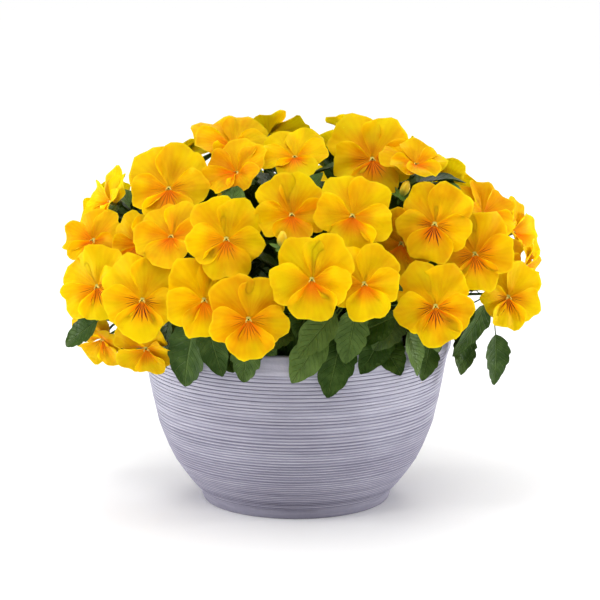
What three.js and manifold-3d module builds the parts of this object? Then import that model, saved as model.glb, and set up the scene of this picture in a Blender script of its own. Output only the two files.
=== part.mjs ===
// A ribbed bowl planter filled with yellow pansies.
// Millimetres, +Z up. The origin is the centre of the bowl's flat underside, and -Y is the front.
import * as THREE from 'three';
import { mergeVertices } from 'three/addons/utils/BufferGeometryUtils.js';
import Module from 'manifold-3d';

const wasm = await Module();
wasm.setup();

// Driving dimensions of the bowl
const BOWL_HEIGHT = 179;
const BOWL_SIDES = 32;
const FOOT_RADIUS = 94;
const RIM_RADIUS = 157;
const WALL = 6;
const FLOOR = 8;
const RIB_COUNT = 10;
const RIB_DEPTH = 1.3;
const RIBS_FROM = 12;
const RIBS_TO = 152;
const DRAIN_RADIUS = 6;
const DRAIN_RING = 52;
const DRAIN_COUNT = 3;
const DRAIN_SIDES = 8;
const RIM_BAND = 158;
const RIM_BEVEL = 2;

// Heights of the bends in the bowl's inside, which the soil follows, and where its rounded foot starts
const INNER_HEIGHTS = [157, 105, 60, 26];
const INNER_FOOT = 14;

// Radius of the outside of the bowl at a few heights, from the foot up to the flared rim
const OUTSIDE = [
  [0, FOOT_RADIUS], [8.4, 96], [20, 106], [32, 115], [44, 123], [56.5, 129], [69, 134], [81, 138.5],
  [93, 141], [105.5, 144], [122, 147.2], [138, 150], [150, 152.6], [158, 155.5], [BOWL_HEIGHT, RIM_RADIUS],
];

// Driving dimensions of the planting
const GAP = 0.35;
const SOIL_TOP = INNER_HEIGHTS[0];
const SOIL_CROWN = 5;
const SOIL_SHOULDER = { radius: 90, part: 0.8 };
const CROWN_RADIUS = 4.6;
const CROWN_TOP = 175;
const CROWN_FOOT = 128;
const CROWN_RING = 84;
const CROWN_SIDES = 6;
const OUTER_PLANTS = 5;
const MIDDLE_REACH = 112;

// The rounded mass of bloom: centre height, half width, half depth and half height
const DOME = { height: 235, across: 220, deep: 200, rise: 130 };

// How far a bloom may be moved along its line to stand clear, and by what steps
const SETTLE_STEP = 4;
const SETTLE_REACH = 68;

// The front view that the planting is laid out in looks down by this angle
const VIEW_LIFT = THREE.MathUtils.degToRad(12);
const VIEW_UP = Math.cos(VIEW_LIFT);
const VIEW_BACK = Math.sin(VIEW_LIFT);

// Driving dimensions of a bloom, as parts of its full width, and of its stalk and calyx
const PETAL_HALF = 0.6;
const PETAL_SHOULDER = 0.48;
const PETAL_EDGE = [1, 0.72, 0.35];
const PETAL_MID = [0.62];
const LAYER_STEP = 3.4;
const SEPALS = 5;
const HUB = { radius: 3.4, front: 1.6, belt: -1.5, back: -7.2 };
const CALYX = { tip: 11.5, tipAt: -6.4, valley: 4.4, valleyAt: -7, front: -7.65, back: -12 };
const STALK_RADIUS = 1.7;
const STALK_STEPS = 4;
const STALK_SET = 2.4;
const NECK = 27;
const NECK_ROOM = { widest: 6, length: 1.3 };
const STALK_SUNK = { least: 3, more: 6 };
const STALK_RISE = 46;
const STALK_SIDEWAYS = [0, 16, -16, 32, -32, 48, -48, 64, -64, 80, -80];
const STALK_HIGHER = [0, 24, -20, 48, -34];

// Each petal: the way it points, clockwise from straight up, half its spread, its reach, lean, curl and layer
const PETALS = [
  { bearing: -32, spread: 54, reach: 0.57, lean: -0.08, curl: -0.06, layer: 0, notch: 0 },
  { bearing: 32, spread: 54, reach: 0.56, lean: -0.05, curl: -0.05, layer: 1, notch: 0 },
  { bearing: -100, spread: 50, reach: 0.49, lean: 0.12, curl: -0.14, layer: 2, notch: 0 },
  { bearing: 100, spread: 50, reach: 0.49, lean: 0.12, curl: -0.14, layer: 2, notch: 0 },
  { bearing: 180, spread: 60, reach: 0.49, lean: 0.2, curl: -0.24, layer: 3, notch: 0.08 },
];

// Blooms of the front, as seen from the front: mm across and up, full width, turn, lift and roll in
// degrees, mm nearer to the viewer, and how far the petals close forward
const FRONT_BLOOMS = [
  [74, 334, 84, 4, 22, 4, 6, 0],
  [132, 268, 78, -4, 12, -6, 8, 0],
  [132, 190, 80, -2, 6, 4, 6, 0],
  [-145, 196, 80, -10, 6, 0, 8, 0],
  [-44, 178, 74, 4, 0, 4, 14, 0],
  [15, 215, 80, 0, 4, 0, 12, 0.05],
  [171, 240, 76, 10, 8, 4, 10, 0],
  [207, 199, 66, 22, 4, -10, 10, 0],
  [-65, 253, 76, 6, 12, -6, 10, 0],
  [-4, 276, 72, 8, 22, 0, 0, 0.12],
  [-122, 303, 82, -14, 26, 10, 6, 0],
  [-193, 209, 74, -24, 6, 24, 6, 0],
  [53, 275, 74, 10, 20, -12, 6, 0],
  [64, 211, 68, 2, 10, 4, 0, 0],
  [-86, 196, 74, 12, 2, -4, 0, 0],
  [-197, 254, 60, -30, 24, -8, 0, 0],
  [-118, 256, 72, -18, 34, 8, -8, 0.1],
  [-192, 158, 64, -34, -38, 34, 0, 0.1],
  [-144, 150, 60, -12, -34, 14, -8, 0.1],
  [101, 250, 64, -14, -8, 0, -10, 0],
  [-56, 318, 66, -34, 40, -16, 0, 0.3],
  [-182, 293, 62, -64, 24, 0, 0, 0.25],
  [-1, 334, 72, -8, 48, 8, -6, 0.05],
  [-63, 347, 78, 10, 56, 0, -4, 0.15],
  [217, 264, 68, 66, 14, 6, 0, 0.35],
  [182, 280, 62, 48, 36, 10, -4, 0.35],
  [148, 312, 64, 140, 26, 0, -6, 0.1],
  [115, 326, 62, 28, 58, 0, -8, 0.1],
  [226, 228, 54, 78, -12, 20, -4, 0.3],
  [196, 236, 60, 34, 26, 30, -12, 0.1],
  [-150, 250, 58, -24, 8, 0, -14, 0.1],
];

// How much the petals differ: reach, degrees of bearing, lean and curl, and the waves of their rims
const VARY = { reach: 0.16, bearing: 12, lean: 0.08, curl: 0.1 };
const WAVE = { height: 0.036, vary: 0.024, count: 4.6, calm: 0.4 };
const NOTCH_WIDTH = 0.2;
const CLOSE_CURL = 0.4;
const PETAL_TRAITS = { first: 10, each: 8 };

// Blooms of the back and the far sides, in rows: height on the dome, how many, and the ends of the row
const BACK_ROWS = [
  { level: -0.16, count: 7, from: 10, to: 170 },
  { level: 0.28, count: 6, from: 22, to: 158 },
  { level: 0.66, count: 4, from: 30, to: 150 },
  { level: 0.93, count: 2, from: 50, to: 140 },
];

// How those blooms sit on the dome, with the full range by which each differs, in parts and in degrees
const BACK = { reach: 0.97, place: 0.5, level: 0.1, turn: 24, lift: 8, lean: 46, nod: 16, roll: 30 };
const BACK_SIZE = { least: 68, more: 12, close: 0.12 };

// Buds that stand among the blooms, as the front blooms are given
const FRONT_BUDS = [
  [-13, 252, 10, 14, 64, 0, 0, 0],
  [104, 302, 10, 40, 60, 0, 0, 0],
];
const BUD = { radius: 4.6, front: 11, belt: 2, back: -7.2 };

// Leaves that hang over the rim, as seen from the front: mm across and up of the tip, and the width
const RIM_LEAVES = [
  [-112, 143, 39], [-107, 113, 43], [-77, 146, 25], [-59, 127, 34], [-50, 118, 31], [1, 160, 34],
  [30, 103, 39], [47, 136, 32], [74, 148, 36], [100, 124, 34], [122, 118, 23], [138, 146, 25],
  [166, 137, 30], [163, 122, 27], [196, 112, 30], [215, 152, 32], [243, 192, 21], [-227, 151, 27],
  [-158, 130, 27], [-150, 168, 27], [-30, 150, 30], [150, 168, 30],
];
const BACK_RIM = { count: 12, from: 6, to: 174, place: 0.5, low: 136, high: 160, width: 30 };
const RIM_CLEAR = [14, 24, 34];
const RIM_FOOT = [0.63, 0.38, 0.87];
const RIM_LOOKS_UP = 0.6;
const RIM_TURNED = 1.2;
const SIDE_DEPTH = 48;

// Leaves up each stalk: how far up they grow, their length and width, and the ways they may turn
const STALK_LEAF_AT = [0.5, 0.78];
const STALKS_WITH_LEAF = 0.38;
const LEAF_LENGTH = 58;
const LEAF_WIDTH = 30;
const LEAF_TURNS = [0, 35, -35, 70, -70, 110, -110, 150];
const LEAF_LIFTS = [22, 50, -6];
const LEAF_BLADE = 1.65;
const LEAF_ARCH = 0.16;
const LEAF_FOLD = 0.22;
const LEAF_HALF = 0.55;
const LEAF_FOOT = 0.7;
const LEAF_SHAPE = { below: 0.8, full: 0.75 };
const LEAF_SIZES = { least: 0.8, more: 0.4 };
const LEAF_ROOM = 1.6;
const LEAF_HEADING = 120;

// Where the edge of a leaf is cut, as parts of its blade, with how much of its width is left there, and
// where its middle bends: first for the leaves of the rim, and then for those among the stalks
const RIM_CUT = {
  edge: [[0.14, 1], [0.28, 0.82], [0.42, 1], [0.56, 0.8], [0.7, 1], [0.84, 0.76]],
  mid: [0.3, 0.65],
};
const INNER_CUT = { edge: [[0.2, 1], [0.38, 0.84], [0.6, 1], [0.8, 0.76]], mid: [0.45] };

// Colours and finish
const LOOK = {
  bowl: { color: 0x9896a8, roughness: 0.85, metalness: 0 },
  soil: { color: 0x2e221a, roughness: 1, metalness: 0 },
  green: { color: 0x4a6b34, roughness: 0.6, metalness: 0 },
  yellow: { color: 0xffc808, roughness: 0.55, metalness: 0 },
  pale: { color: 0xd8d878, roughness: 0.55, metalness: 0 },
};

const UP = new THREE.Vector3(0, 0, 1);
const TOWARDS_VIEWER = new THREE.Vector3(0, -VIEW_UP, VIEW_BACK);
const radians = THREE.MathUtils.degToRad;
const planter = new THREE.Group();

// A number from 0 to 1 that is always the same for one piece and one of its traits.
function draw(piece, trait) {
  let n = Math.imul(piece + 1, 0x9e3779b1) ^ Math.imul(trait + 1, 0x85ebca6b);
  n = Math.imul(n ^ (n >>> 16), 0x7feb352d);
  n = Math.imul(n ^ (n >>> 15), 0x846ca68b);
  return ((n ^ (n >>> 16)) >>> 0) / 4294967296;
}

// A closed geometry as a solid that can be joined and cut.
function toSolid(geometry) {
  const bare = new THREE.BufferGeometry();
  bare.setAttribute('position', geometry.getAttribute('position'));
  if (geometry.index) {
    bare.setIndex(geometry.index);
  }
  const merged = mergeVertices(bare, 1e-3);
  return new wasm.Manifold(new wasm.Mesh({
    numProp: 3,
    vertProperties: new Float32Array(merged.getAttribute('position').array),
    triVerts: new Uint32Array(merged.index.array),
  }));
}

function fromSolid(solid) {
  const mesh = solid.getMesh();
  const geometry = new THREE.BufferGeometry();
  geometry.setAttribute('position', new THREE.BufferAttribute(mesh.vertProperties, 3));
  geometry.setIndex(new THREE.BufferAttribute(mesh.triVerts, 1));
  return geometry;
}

// A geometry from points and triangles of indices.
function fromFaces(points, faces) {
  const geometry = new THREE.BufferGeometry();
  const numbers = points.flatMap((point) => point.toArray());
  geometry.setAttribute('position', new THREE.Float32BufferAttribute(numbers, 3));
  geometry.setIndex(faces.flat());
  return geometry;
}

function addPiece(name, solid, look) {
  const geometry = fromSolid(solid);
  geometry.computeVertexNormals();
  const piece = new THREE.Mesh(geometry, new THREE.MeshStandardMaterial({ ...look, flatShading: true }));
  piece.name = name;
  planter.add(piece);
}

// Radius of the bowl's outside at a height, without its ribs.
function outsideRadius(z) {
  const next = OUTSIDE.findIndex(([height]) => height >= z);
  if (next <= 0) {
    return next < 0 ? RIM_RADIUS : FOOT_RADIUS;
  }
  const [lowZ, lowR] = OUTSIDE[next - 1];
  const [highZ, highR] = OUTSIDE[next];
  return lowR + (highR - lowR) * (z - lowZ) / (highZ - lowZ);
}

const insideRadius = (z) => outsideRadius(z) - WALL;

function lathe(profile, sides) {
  const points = profile.map(([radius, z]) => new THREE.Vector2(radius, z));
  return toSolid(new THREE.LatheGeometry(points, sides).rotateX(Math.PI / 2).rotateZ(Math.PI / 2));
}

function makeBowl() {
  const outer = [[0, 0], ...OUTSIDE.slice(0, 2).map(([z, radius]) => [radius, z])];
  const pitch = (RIBS_TO - RIBS_FROM) / RIB_COUNT;
  for (let rib = 0; rib < RIB_COUNT; rib += 1) {
    const groove = RIBS_FROM + rib * pitch;
    outer.push([outsideRadius(groove) - RIB_DEPTH, groove]);
    outer.push([outsideRadius(groove + pitch / 2), groove + pitch / 2]);
  }
  outer.push([outsideRadius(RIBS_TO) - RIB_DEPTH, RIBS_TO], [outsideRadius(RIM_BAND), RIM_BAND]);
  outer.push([RIM_RADIUS, BOWL_HEIGHT - RIM_BEVEL], [RIM_RADIUS - RIM_BEVEL, BOWL_HEIGHT]);
  const inner = [[RIM_RADIUS - WALL, BOWL_HEIGHT], ...INNER_HEIGHTS.map((z) => [insideRadius(z), z])];
  inner.push([insideRadius(INNER_FOOT), FLOOR], [0, FLOOR]);
  let bowl = lathe([...outer, ...inner], BOWL_SIDES);
  for (let drain = 0; drain < DRAIN_COUNT; drain += 1) {
    const angle = 2 * Math.PI * (drain + 0.5) / DRAIN_COUNT;
    const hole = new THREE.CylinderGeometry(DRAIN_RADIUS, DRAIN_RADIUS, 4 * FLOOR, DRAIN_SIDES);
    hole.rotateX(Math.PI / 2).translate(DRAIN_RING * Math.cos(angle), DRAIN_RING * Math.sin(angle), 0);
    bowl = bowl.subtract(toSolid(hole));
  }
  return bowl;
}

// Where the plants stand: one in the middle and a ring of others.
function crownPlaces() {
  const places = [new THREE.Vector2(0, 0)];
  for (let plant = 0; plant < OUTER_PLANTS; plant += 1) {
    const angle = 2 * Math.PI * plant / OUTER_PLANTS;
    places.push(new THREE.Vector2(CROWN_RING * Math.cos(angle), CROWN_RING * Math.sin(angle)));
  }
  return places;
}

const CROWNS = crownPlaces();

function crownPost(place, radius, from, to) {
  const post = new THREE.CylinderGeometry(radius, radius, to - from, CROWN_SIDES).rotateX(Math.PI / 2);
  return toSolid(post.translate(place.x, place.y, (from + to) / 2));
}

function makeSoil() {
  const wall = INNER_HEIGHTS.map((z) => [insideRadius(z) - 2 * GAP, z]).reverse();
  const foot = [insideRadius(INNER_FOOT) - 3 * GAP, FLOOR + GAP];
  const shoulder = [SOIL_SHOULDER.radius, SOIL_TOP + SOIL_CROWN * SOIL_SHOULDER.part];
  const top = [shoulder, [0, SOIL_TOP + SOIL_CROWN]];
  let soil = lathe([[0, FLOOR + GAP], foot, ...wall, ...top], BOWL_SIDES);
  for (const place of CROWNS) {
    soil = soil.subtract(crownPost(place, CROWN_RADIUS + GAP, CROWN_FOOT - GAP, BOWL_HEIGHT));
  }
  return soil;
}

// The three directions of a bloom: out of its face, up its face, and to the viewer's right.
function bloomAxes(turn, lift, roll) {
  const flat = new THREE.Vector3(Math.sin(turn), -Math.cos(turn), 0);
  const face = flat.multiplyScalar(Math.cos(lift)).addScaledVector(UP, Math.sin(lift));
  const upright = UP.clone().addScaledVector(face, -face.z).normalize();
  const right = upright.clone().cross(face);
  const up = upright.clone().multiplyScalar(Math.cos(roll)).addScaledVector(right, -Math.sin(roll));
  const side = right.multiplyScalar(Math.cos(roll)).addScaledVector(upright, Math.sin(roll));
  return { face, up, side };
}

// How far back the near side of the dome lies at a point of the front view.
function depthOnDome(across, rise) {
  const slope = VIEW_BACK / VIEW_UP;
  const drop = rise / VIEW_UP - DOME.height;
  const a = 1 / DOME.deep ** 2 + (slope / DOME.rise) ** 2;
  const b = -2 * drop * slope / DOME.rise ** 2;
  const c = (across / DOME.across) ** 2 + (drop / DOME.rise) ** 2 - 1;
  const root = Math.sqrt(Math.max(0, b * b - 4 * a * c));
  return (-b - root) / (2 * a);
}

function fromFrontView(across, rise, depth) {
  return new THREE.Vector3(across, depth, (rise - VIEW_BACK * depth) / VIEW_UP);
}

function frontBloom([across, rise, size, turn, lift, roll, nearer, close], index) {
  const throat = fromFrontView(across, rise, depthOnDome(across, rise));
  throat.addScaledVector(TOWARDS_VIEWER, nearer);
  const axes = bloomAxes(radians(turn), radians(lift), radians(roll));
  return { index, size, close, throat, push: TOWARDS_VIEWER, hidden: nearer < 0, ...axes };
}

// A bloom of the back rows, which faces out of the dome.
function backBloom(row, place, index) {
  const vary = (trait) => draw(index, trait) - 0.5;
  const step = (row.to - row.from) / (row.count - 1);
  const angle = radians(row.from + step * (place + BACK.place * vary(1)));
  const level = row.level + BACK.level * vary(2);
  const reach = Math.sqrt(1 - level * level) * BACK.reach;
  const throat = new THREE.Vector3(
    DOME.across * reach * Math.cos(angle),
    DOME.deep * reach * Math.sin(angle),
    DOME.height + DOME.rise * level,
  );
  const turn = angle + Math.PI / 2 + radians(BACK.turn * vary(3));
  const lift = radians(BACK.lift + BACK.lean * Math.max(0, level) + BACK.nod * vary(4));
  const axes = bloomAxes(turn, lift, radians(BACK.roll * vary(5)));
  const size = BACK_SIZE.least + BACK_SIZE.more * draw(index, 6);
  const close = BACK_SIZE.close * draw(index, 7);
  return { index, size, close, throat, push: axes.face, hidden: false, ...axes };
}

function allBlooms() {
  const blooms = FRONT_BLOOMS.map(frontBloom);
  for (const row of BACK_ROWS) {
    for (let place = 0; place < row.count; place += 1) {
      blooms.push(backBloom(row, place, blooms.length));
    }
  }
  for (const bud of FRONT_BUDS) {
    blooms.push({ ...frontBloom(bud, blooms.length), bud: true });
  }
  return blooms;
}

// A point given in a bloom's own directions.
function onBloom(bloom, radius, angle, height) {
  return bloom.throat.clone()
    .addScaledVector(bloom.side, radius * Math.sin(angle))
    .addScaledVector(bloom.up, radius * Math.cos(angle))
    .addScaledVector(bloom.face, height);
}

// A point of a petal: t runs from one edge to the other, -1 to 1, and along from the throat to the rim.
function petalPoint(bloom, kind, t, along, offset = 0) {
  const petal = PETALS[kind];
  const vary = (step) => draw(bloom.index, PETAL_TRAITS.first + PETAL_TRAITS.each * kind + step) - 0.5;
  const span = bloom.size * petal.reach * (1 + VARY.reach * vary(0));
  const notch = 1 - petal.notch * (0.6 + vary(6)) * Math.exp(-((t / NOTCH_WIDTH) ** 2));
  const edge = span * (PETAL_SHOULDER + (1 - PETAL_SHOULDER) * Math.sqrt(Math.max(0, 1 - t * t))) * notch;
  const radius = along * edge;
  const angle = radians(petal.bearing + VARY.bearing * vary(1) + petal.spread * t);
  const lean = petal.lean + VARY.lean * vary(2) + bloom.close;
  const curl = petal.curl + VARY.curl * vary(3) - CLOSE_CURL * bloom.close;
  const wave = bloom.size * (WAVE.height + WAVE.vary * vary(4)) * along * along * (1 - WAVE.calm * t * t);
  const height = lean * radius + curl * radius * radius / span + petal.layer * LAYER_STEP * along
    + wave * Math.sin(WAVE.count * t + 2 * Math.PI * vary(5)) + offset;
  return onBloom(bloom, radius, angle, height);
}

// The triangles of a blade whose two faces share one rim. Its chains of points run from the root up
// both edges and up the middle of each face, and meet in the tip. Where they share their root too, the
// middle starts one point ahead, so that no triangle lies in both faces.
function bladeFaces(left, right, front, back, tip) {
  const faces = [];
  const add = (a, b, c) => {
    if (a !== b && b !== c && c !== a) {
      faces.push([a, b, c]);
    }
  };
  const strip = (edges, mids, flip) => {
    const outer = [...edges, tip];
    const inner = [...mids, tip];
    const lastOuter = outer.length - 1;
    const lastInner = inner.length - 1;
    let o = 0;
    let i = outer[0] === inner[0] ? 1 : 0;
    while (o < lastOuter || i < lastInner) {
      const alongEdge = o < lastOuter && (i === lastInner || (o + 1) / lastOuter <= (i + 1) / lastInner);
      const next = alongEdge ? outer[o + 1] : inner[i + 1];
      add(outer[o], flip ? inner[i] : next, flip ? next : inner[i]);
      o += alongEdge ? 1 : 0;
      i += alongEdge ? 0 : 1;
    }
  };
  strip(right, front, false);
  strip(left, front, true);
  strip(right, back, true);
  strip(left, back, false);
  add(left[0], right[0], front[0]);
  add(left[0], back[0], right[0]);
  return faces;
}

function petalSolid(bloom, kind, half) {
  const points = [];
  const keep = (point) => points.push(point) - 1;
  const root = keep(petalPoint(bloom, kind, 0, 0));
  const tip = keep(petalPoint(bloom, kind, 0, 1));
  const left = [root, ...PETAL_EDGE.map((t) => keep(petalPoint(bloom, kind, -t, 1)))];
  const right = [root, ...PETAL_EDGE.map((t) => keep(petalPoint(bloom, kind, t, 1)))];
  const front = [root, ...PETAL_MID.map((along) => keep(petalPoint(bloom, kind, 0, along, half)))];
  const back = [root, ...PETAL_MID.map((along) => keep(petalPoint(bloom, kind, 0, along, -half)))];
  return toSolid(fromFaces(points, bladeFaces(left, right, front, back, tip)));
}

// Two cones base to base round a bloom's axis, with a round or a starred rim.
function spindle(bloom, count, rimAt, frontHeight, backHeight) {
  const points = [onBloom(bloom, 0, 0, frontHeight), onBloom(bloom, 0, 0, backHeight)];
  const faces = [];
  for (let corner = 0; corner < count; corner += 1) {
    const [radius, height] = rimAt(corner);
    points.push(onBloom(bloom, radius, 2 * Math.PI * corner / count, height));
    const next = 2 + (corner + 1) % count;
    faces.push([0, next, 2 + corner], [1, 2 + corner, next]);
  }
  return toSolid(fromFaces(points, faces));
}

function hubSolid(bloom) {
  return spindle(bloom, 4, () => [HUB.radius, HUB.belt], HUB.front, HUB.back);
}

function budSolid(bloom) {
  return spindle(bloom, 6, () => [BUD.radius, BUD.belt], BUD.front, BUD.back);
}

// Five pointed sepals round a shallow cup that the bloom sits in.
function calyxSolid(bloom) {
  const rimAt = (corner) => (corner % 2 ? [CALYX.valley, CALYX.valleyAt] : [CALYX.tip, CALYX.tipAt]);
  return spindle(bloom, 2 * SEPALS, rimAt, CALYX.front, CALYX.back);
}

function bloomSolid(bloom, half) {
  if (bloom.bud) {
    return budSolid(bloom);
  }
  const petals = PETALS.map((petal, kind) => petalSolid(bloom, kind, half));
  return wasm.Manifold.union([...petals, hubSolid(bloom)]);
}

// What already stands in the planter, each piece with the box round it.
const standing = [];

function boxOf(solid) {
  const { min, max } = solid.boundingBox();
  return new THREE.Box3(new THREE.Vector3(...min), new THREE.Vector3(...max));
}

function stand(solid, marks = {}) {
  standing.push({ solid, box: boxOf(solid), ...marks });
}

// True where a solid crosses nothing that stands, apart from the pieces it may grow out of.
function isClear(solid, growsFrom = () => false) {
  const box = boxOf(solid);
  return !standing.some((other) => (
    !growsFrom(other) && other.box.intersectsBox(box) && !other.solid.intersect(solid).isEmpty()
  ));
}

// Steps away from the first place, nearest first, and to the back first for blooms that lie behind.
function stepsAway(hidden) {
  const steps = [0];
  for (let step = SETTLE_STEP; step <= SETTLE_REACH; step += SETTLE_STEP) {
    steps.push(hidden ? -step : step, hidden ? step : -step);
  }
  return steps;
}

// The room behind a bloom that the top of its stalk needs.
function neckRoom(bloom) {
  const rimAt = () => [3 * STALK_RADIUS, CALYX.back - NECK_ROOM.widest];
  return spindle(bloom, 3, rimAt, CALYX.back, CALYX.back - NECK_ROOM.length * NECK);
}

// Moves a bloom along its line until it crosses nothing.
function settleBloom(bloom) {
  const start = bloom.throat.clone();
  const settled = stepsAway(bloom.hidden).some((step) => {
    bloom.throat.copy(start).addScaledVector(bloom.push, step);
    const needs = [bloomSolid(bloom, 3 * PETAL_HALF), calyxSolid(bloom), neckRoom(bloom)];
    return needs.every((solid) => isClear(solid));
  });
  if (!settled) {
    throw new Error(`bloom ${bloom.index} finds no clear place`);
  }
}

// The plant that carries a bloom: the middle one for those over the middle, or else the nearest.
function nearestPlant(bloom) {
  if (Math.hypot(bloom.throat.x, bloom.throat.y) < MIDDLE_REACH) {
    return 0;
  }
  const gaps = CROWNS.map((crown) => Math.hypot(crown.x - bloom.throat.x, crown.y - bloom.throat.y));
  return gaps.indexOf(Math.min(...gaps));
}

// The curve of a stalk from its crown to the back of its bloom, bent sideways and upwards.
function stalkCurve(bloom, sideways, higher) {
  const crown = CROWNS[bloom.plant];
  const sunk = STALK_SUNK.least + STALK_SUNK.more * draw(bloom.index, 8);
  const foot = new THREE.Vector3(crown.x, crown.y, CROWN_TOP - sunk);
  const head = onBloom(bloom, 0, 0, CALYX.back + 2);
  const outward = head.clone().sub(foot).setZ(0);
  foot.addScaledVector(outward.clone().normalize(), STALK_SET);
  const aside = new THREE.Vector3(-outward.y, outward.x, 0).normalize();
  const shoulder = foot.clone().addScaledVector(outward, 0.2).addScaledVector(aside, sideways);
  shoulder.z += STALK_RISE + higher;
  const neck = head.clone().addScaledVector(bloom.face, -NECK).addScaledVector(aside, sideways * 0.5);
  neck.z += higher * 0.3;
  return new THREE.CubicBezierCurve3(foot, shoulder, neck, head);
}

// A place on a stalk, whose straight stretches join points of its curve.
function onStalk(bloom, part) {
  const joint = Math.min(STALK_STEPS - 1, Math.floor(part * STALK_STEPS));
  return bloom.joints[joint].clone().lerp(bloom.joints[joint + 1], part * STALK_STEPS - joint);
}

// A three-sided stalk that widens at its top into five pointed sepals round a shallow cup. The sepals are
// left off where only the room that the stalk takes is wanted.
function stalkSolid(bloom, joints, radius, withCalyx) {
  const points = [];
  const faces = [];
  const keep = (point) => points.push(point) - 1;
  let outward = bloom.side.clone();
  let above = null;
  for (let joint = joints.length - 1; joint >= 0; joint -= 1) {
    const before = joints[Math.max(joint - 1, 0)];
    const ahead = joints[Math.min(joint + 1, joints.length - 1)].clone().sub(before).normalize();
    outward = outward.addScaledVector(ahead, -outward.dot(ahead)).normalize();
    const across = ahead.clone().cross(outward);
    const ring = [0, 1, 2].map((corner) => keep(joints[joint].clone()
      .addScaledVector(outward, radius * Math.cos(radians(120 * corner)))
      .addScaledVector(across, radius * Math.sin(radians(120 * corner)))));
    if (above) {
      ring.forEach((low, corner) => {
        const next = (corner + 1) % 3;
        faces.push([low, ring[next], above[next]], [low, above[next], above[corner]]);
      });
    } else {
      faces.push(...(withCalyx ? calyxFaces(bloom, keep, ring) : [ring]));
    }
    above = ring;
  }
  faces.push([above[2], above[1], above[0]]);
  return toSolid(fromFaces(points, faces));
}

// The faces of a calyx whose back runs down to the ring at the top of its stalk.
function calyxFaces(bloom, keep, ring) {
  const faces = [];
  const rim = [];
  for (let corner = 0; corner < SEPALS; corner += 1) {
    rim.push(keep(onBloom(bloom, CALYX.valley, -2 * Math.PI * (corner - 0.5) / SEPALS, CALYX.valleyAt)));
    rim.push(keep(onBloom(bloom, CALYX.tip, -2 * Math.PI * corner / SEPALS, CALYX.tipAt)));
  }
  const cup = keep(onBloom(bloom, 0, 0, CALYX.front));
  rim.forEach((point, at) => faces.push([cup, point, rim[(at + 1) % rim.length]]));
  let low = 0;
  rim.forEach((point, at) => {
    const next = (at + 1) % rim.length;
    faces.push([rim[next], point, ring[low % 3]]);
    if ((at + 1) * 3 >= (low + 1) * rim.length) {
      faces.push([rim[next], ring[low % 3], ring[(low + 1) % 3]]);
      low += 1;
    }
  });
  return faces;
}

// Finds a way for a stalk that crosses nothing but its own plant's other stalks.
function growStalk(bloom) {
  const ownPlant = (other) => other.plant === bloom.plant && other.kind !== 'leaf';
  for (const higher of STALK_HIGHER) {
    for (const sideways of STALK_SIDEWAYS) {
      const joints = stalkCurve(bloom, sideways, higher).getSpacedPoints(STALK_STEPS);
      if (isClear(stalkSolid(bloom, joints, STALK_RADIUS + GAP, false), ownPlant)) {
        return joints;
      }
    }
  }
  throw new Error(`stalk ${bloom.index} finds no clear way`);
}

// A point of a leaf: along from its foot to its tip, and across from -1 to 1, raised off its face.
function leafPoint(leaf, along, across, left = 1, offset = 0) {
  const { foot, crest, tip, looks, width } = leaf;
  const rest = 1 - along;
  const centre = foot.clone().multiplyScalar(rest * rest)
    .addScaledVector(crest, 2 * rest * along)
    .addScaledVector(tip, along * along);
  const ahead = crest.clone().sub(foot).multiplyScalar(rest).addScaledVector(tip.clone().sub(crest), along);
  const side = ahead.clone().cross(looks).normalize();
  const normal = side.clone().cross(ahead).normalize();
  const half = leafHalfWidth(leaf, along) * left;
  return centre.addScaledVector(side, across * half)
    .addScaledVector(normal, offset + LEAF_FOLD * Math.abs(across) * half);
}

// Half the width of a leaf: a thin stalk, and then a blade that is widest below its middle.
function leafHalfWidth(leaf, along) {
  const blade = (along - leaf.stalk) / (1 - leaf.stalk);
  if (blade <= 0) {
    return LEAF_FOOT;
  }
  const bulge = Math.sin(Math.PI * Math.min(1, blade) ** LEAF_SHAPE.below) ** LEAF_SHAPE.full;
  return LEAF_FOOT + leaf.width / 2 * bulge;
}

function makeLeaf(foot, tip, looks, width) {
  const length = foot.distanceTo(tip);
  const crest = foot.clone().lerp(tip, 0.5).addScaledVector(looks, LEAF_ARCH * length);
  return { foot, crest, tip, looks, width, stalk: Math.max(0.08, 1 - LEAF_BLADE * width / length) };
}

function leafSolid(leaf, cut, fatter) {
  const points = [];
  const keep = (point) => points.push(point) - 1;
  const onBlade = (part) => leaf.stalk + (1 - leaf.stalk) * part;
  const edges = (across) => [keep(leafPoint(leaf, 0, across)), ...cut.edge.map(([part, left]) => (
    keep(leafPoint(leaf, onBlade(part), across, left * fatter))
  ))];
  const middle = (half) => [0, ...cut.mid.map(onBlade)].map((along) => (
    keep(leafPoint(leaf, along, 0, 1, half))
  ));
  const half = LEAF_HALF * fatter;
  const tip = keep(leafPoint(leaf, 1, 0));
  return toSolid(fromFaces(points, bladeFaces(edges(-1), edges(1), middle(half), middle(-half), tip)));
}

// Takes the first of some leaves that crosses nothing but the stalk it grows from.
function growLeaf(choices, cut) {
  for (const { leaf, bloom } of choices) {
    const ownStalk = (other) => other.index === bloom.index;
    if (isClear(leafSolid(leaf, cut, LEAF_ROOM), ownStalk)) {
      const solid = leafSolid(leaf, cut, 1);
      stand(solid, { plant: bloom.plant, kind: 'leaf' });
      plantParts[bloom.plant].push(solid);
      return;
    }
  }
}

// Where a leaf's tip hangs beside the bowl, seen at a place of the front view.
function besideBowl(across, rise, clear) {
  let depth = -RIM_RADIUS;
  for (let round = 0; round < 6; round += 1) {
    const z = (rise - VIEW_BACK * depth) / VIEW_UP;
    const radius = outsideRadius(z) + clear;
    depth = -Math.sqrt(Math.max(SIDE_DEPTH ** 2, radius ** 2 - across ** 2));
  }
  return fromFrontView(across, rise, depth);
}

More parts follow.
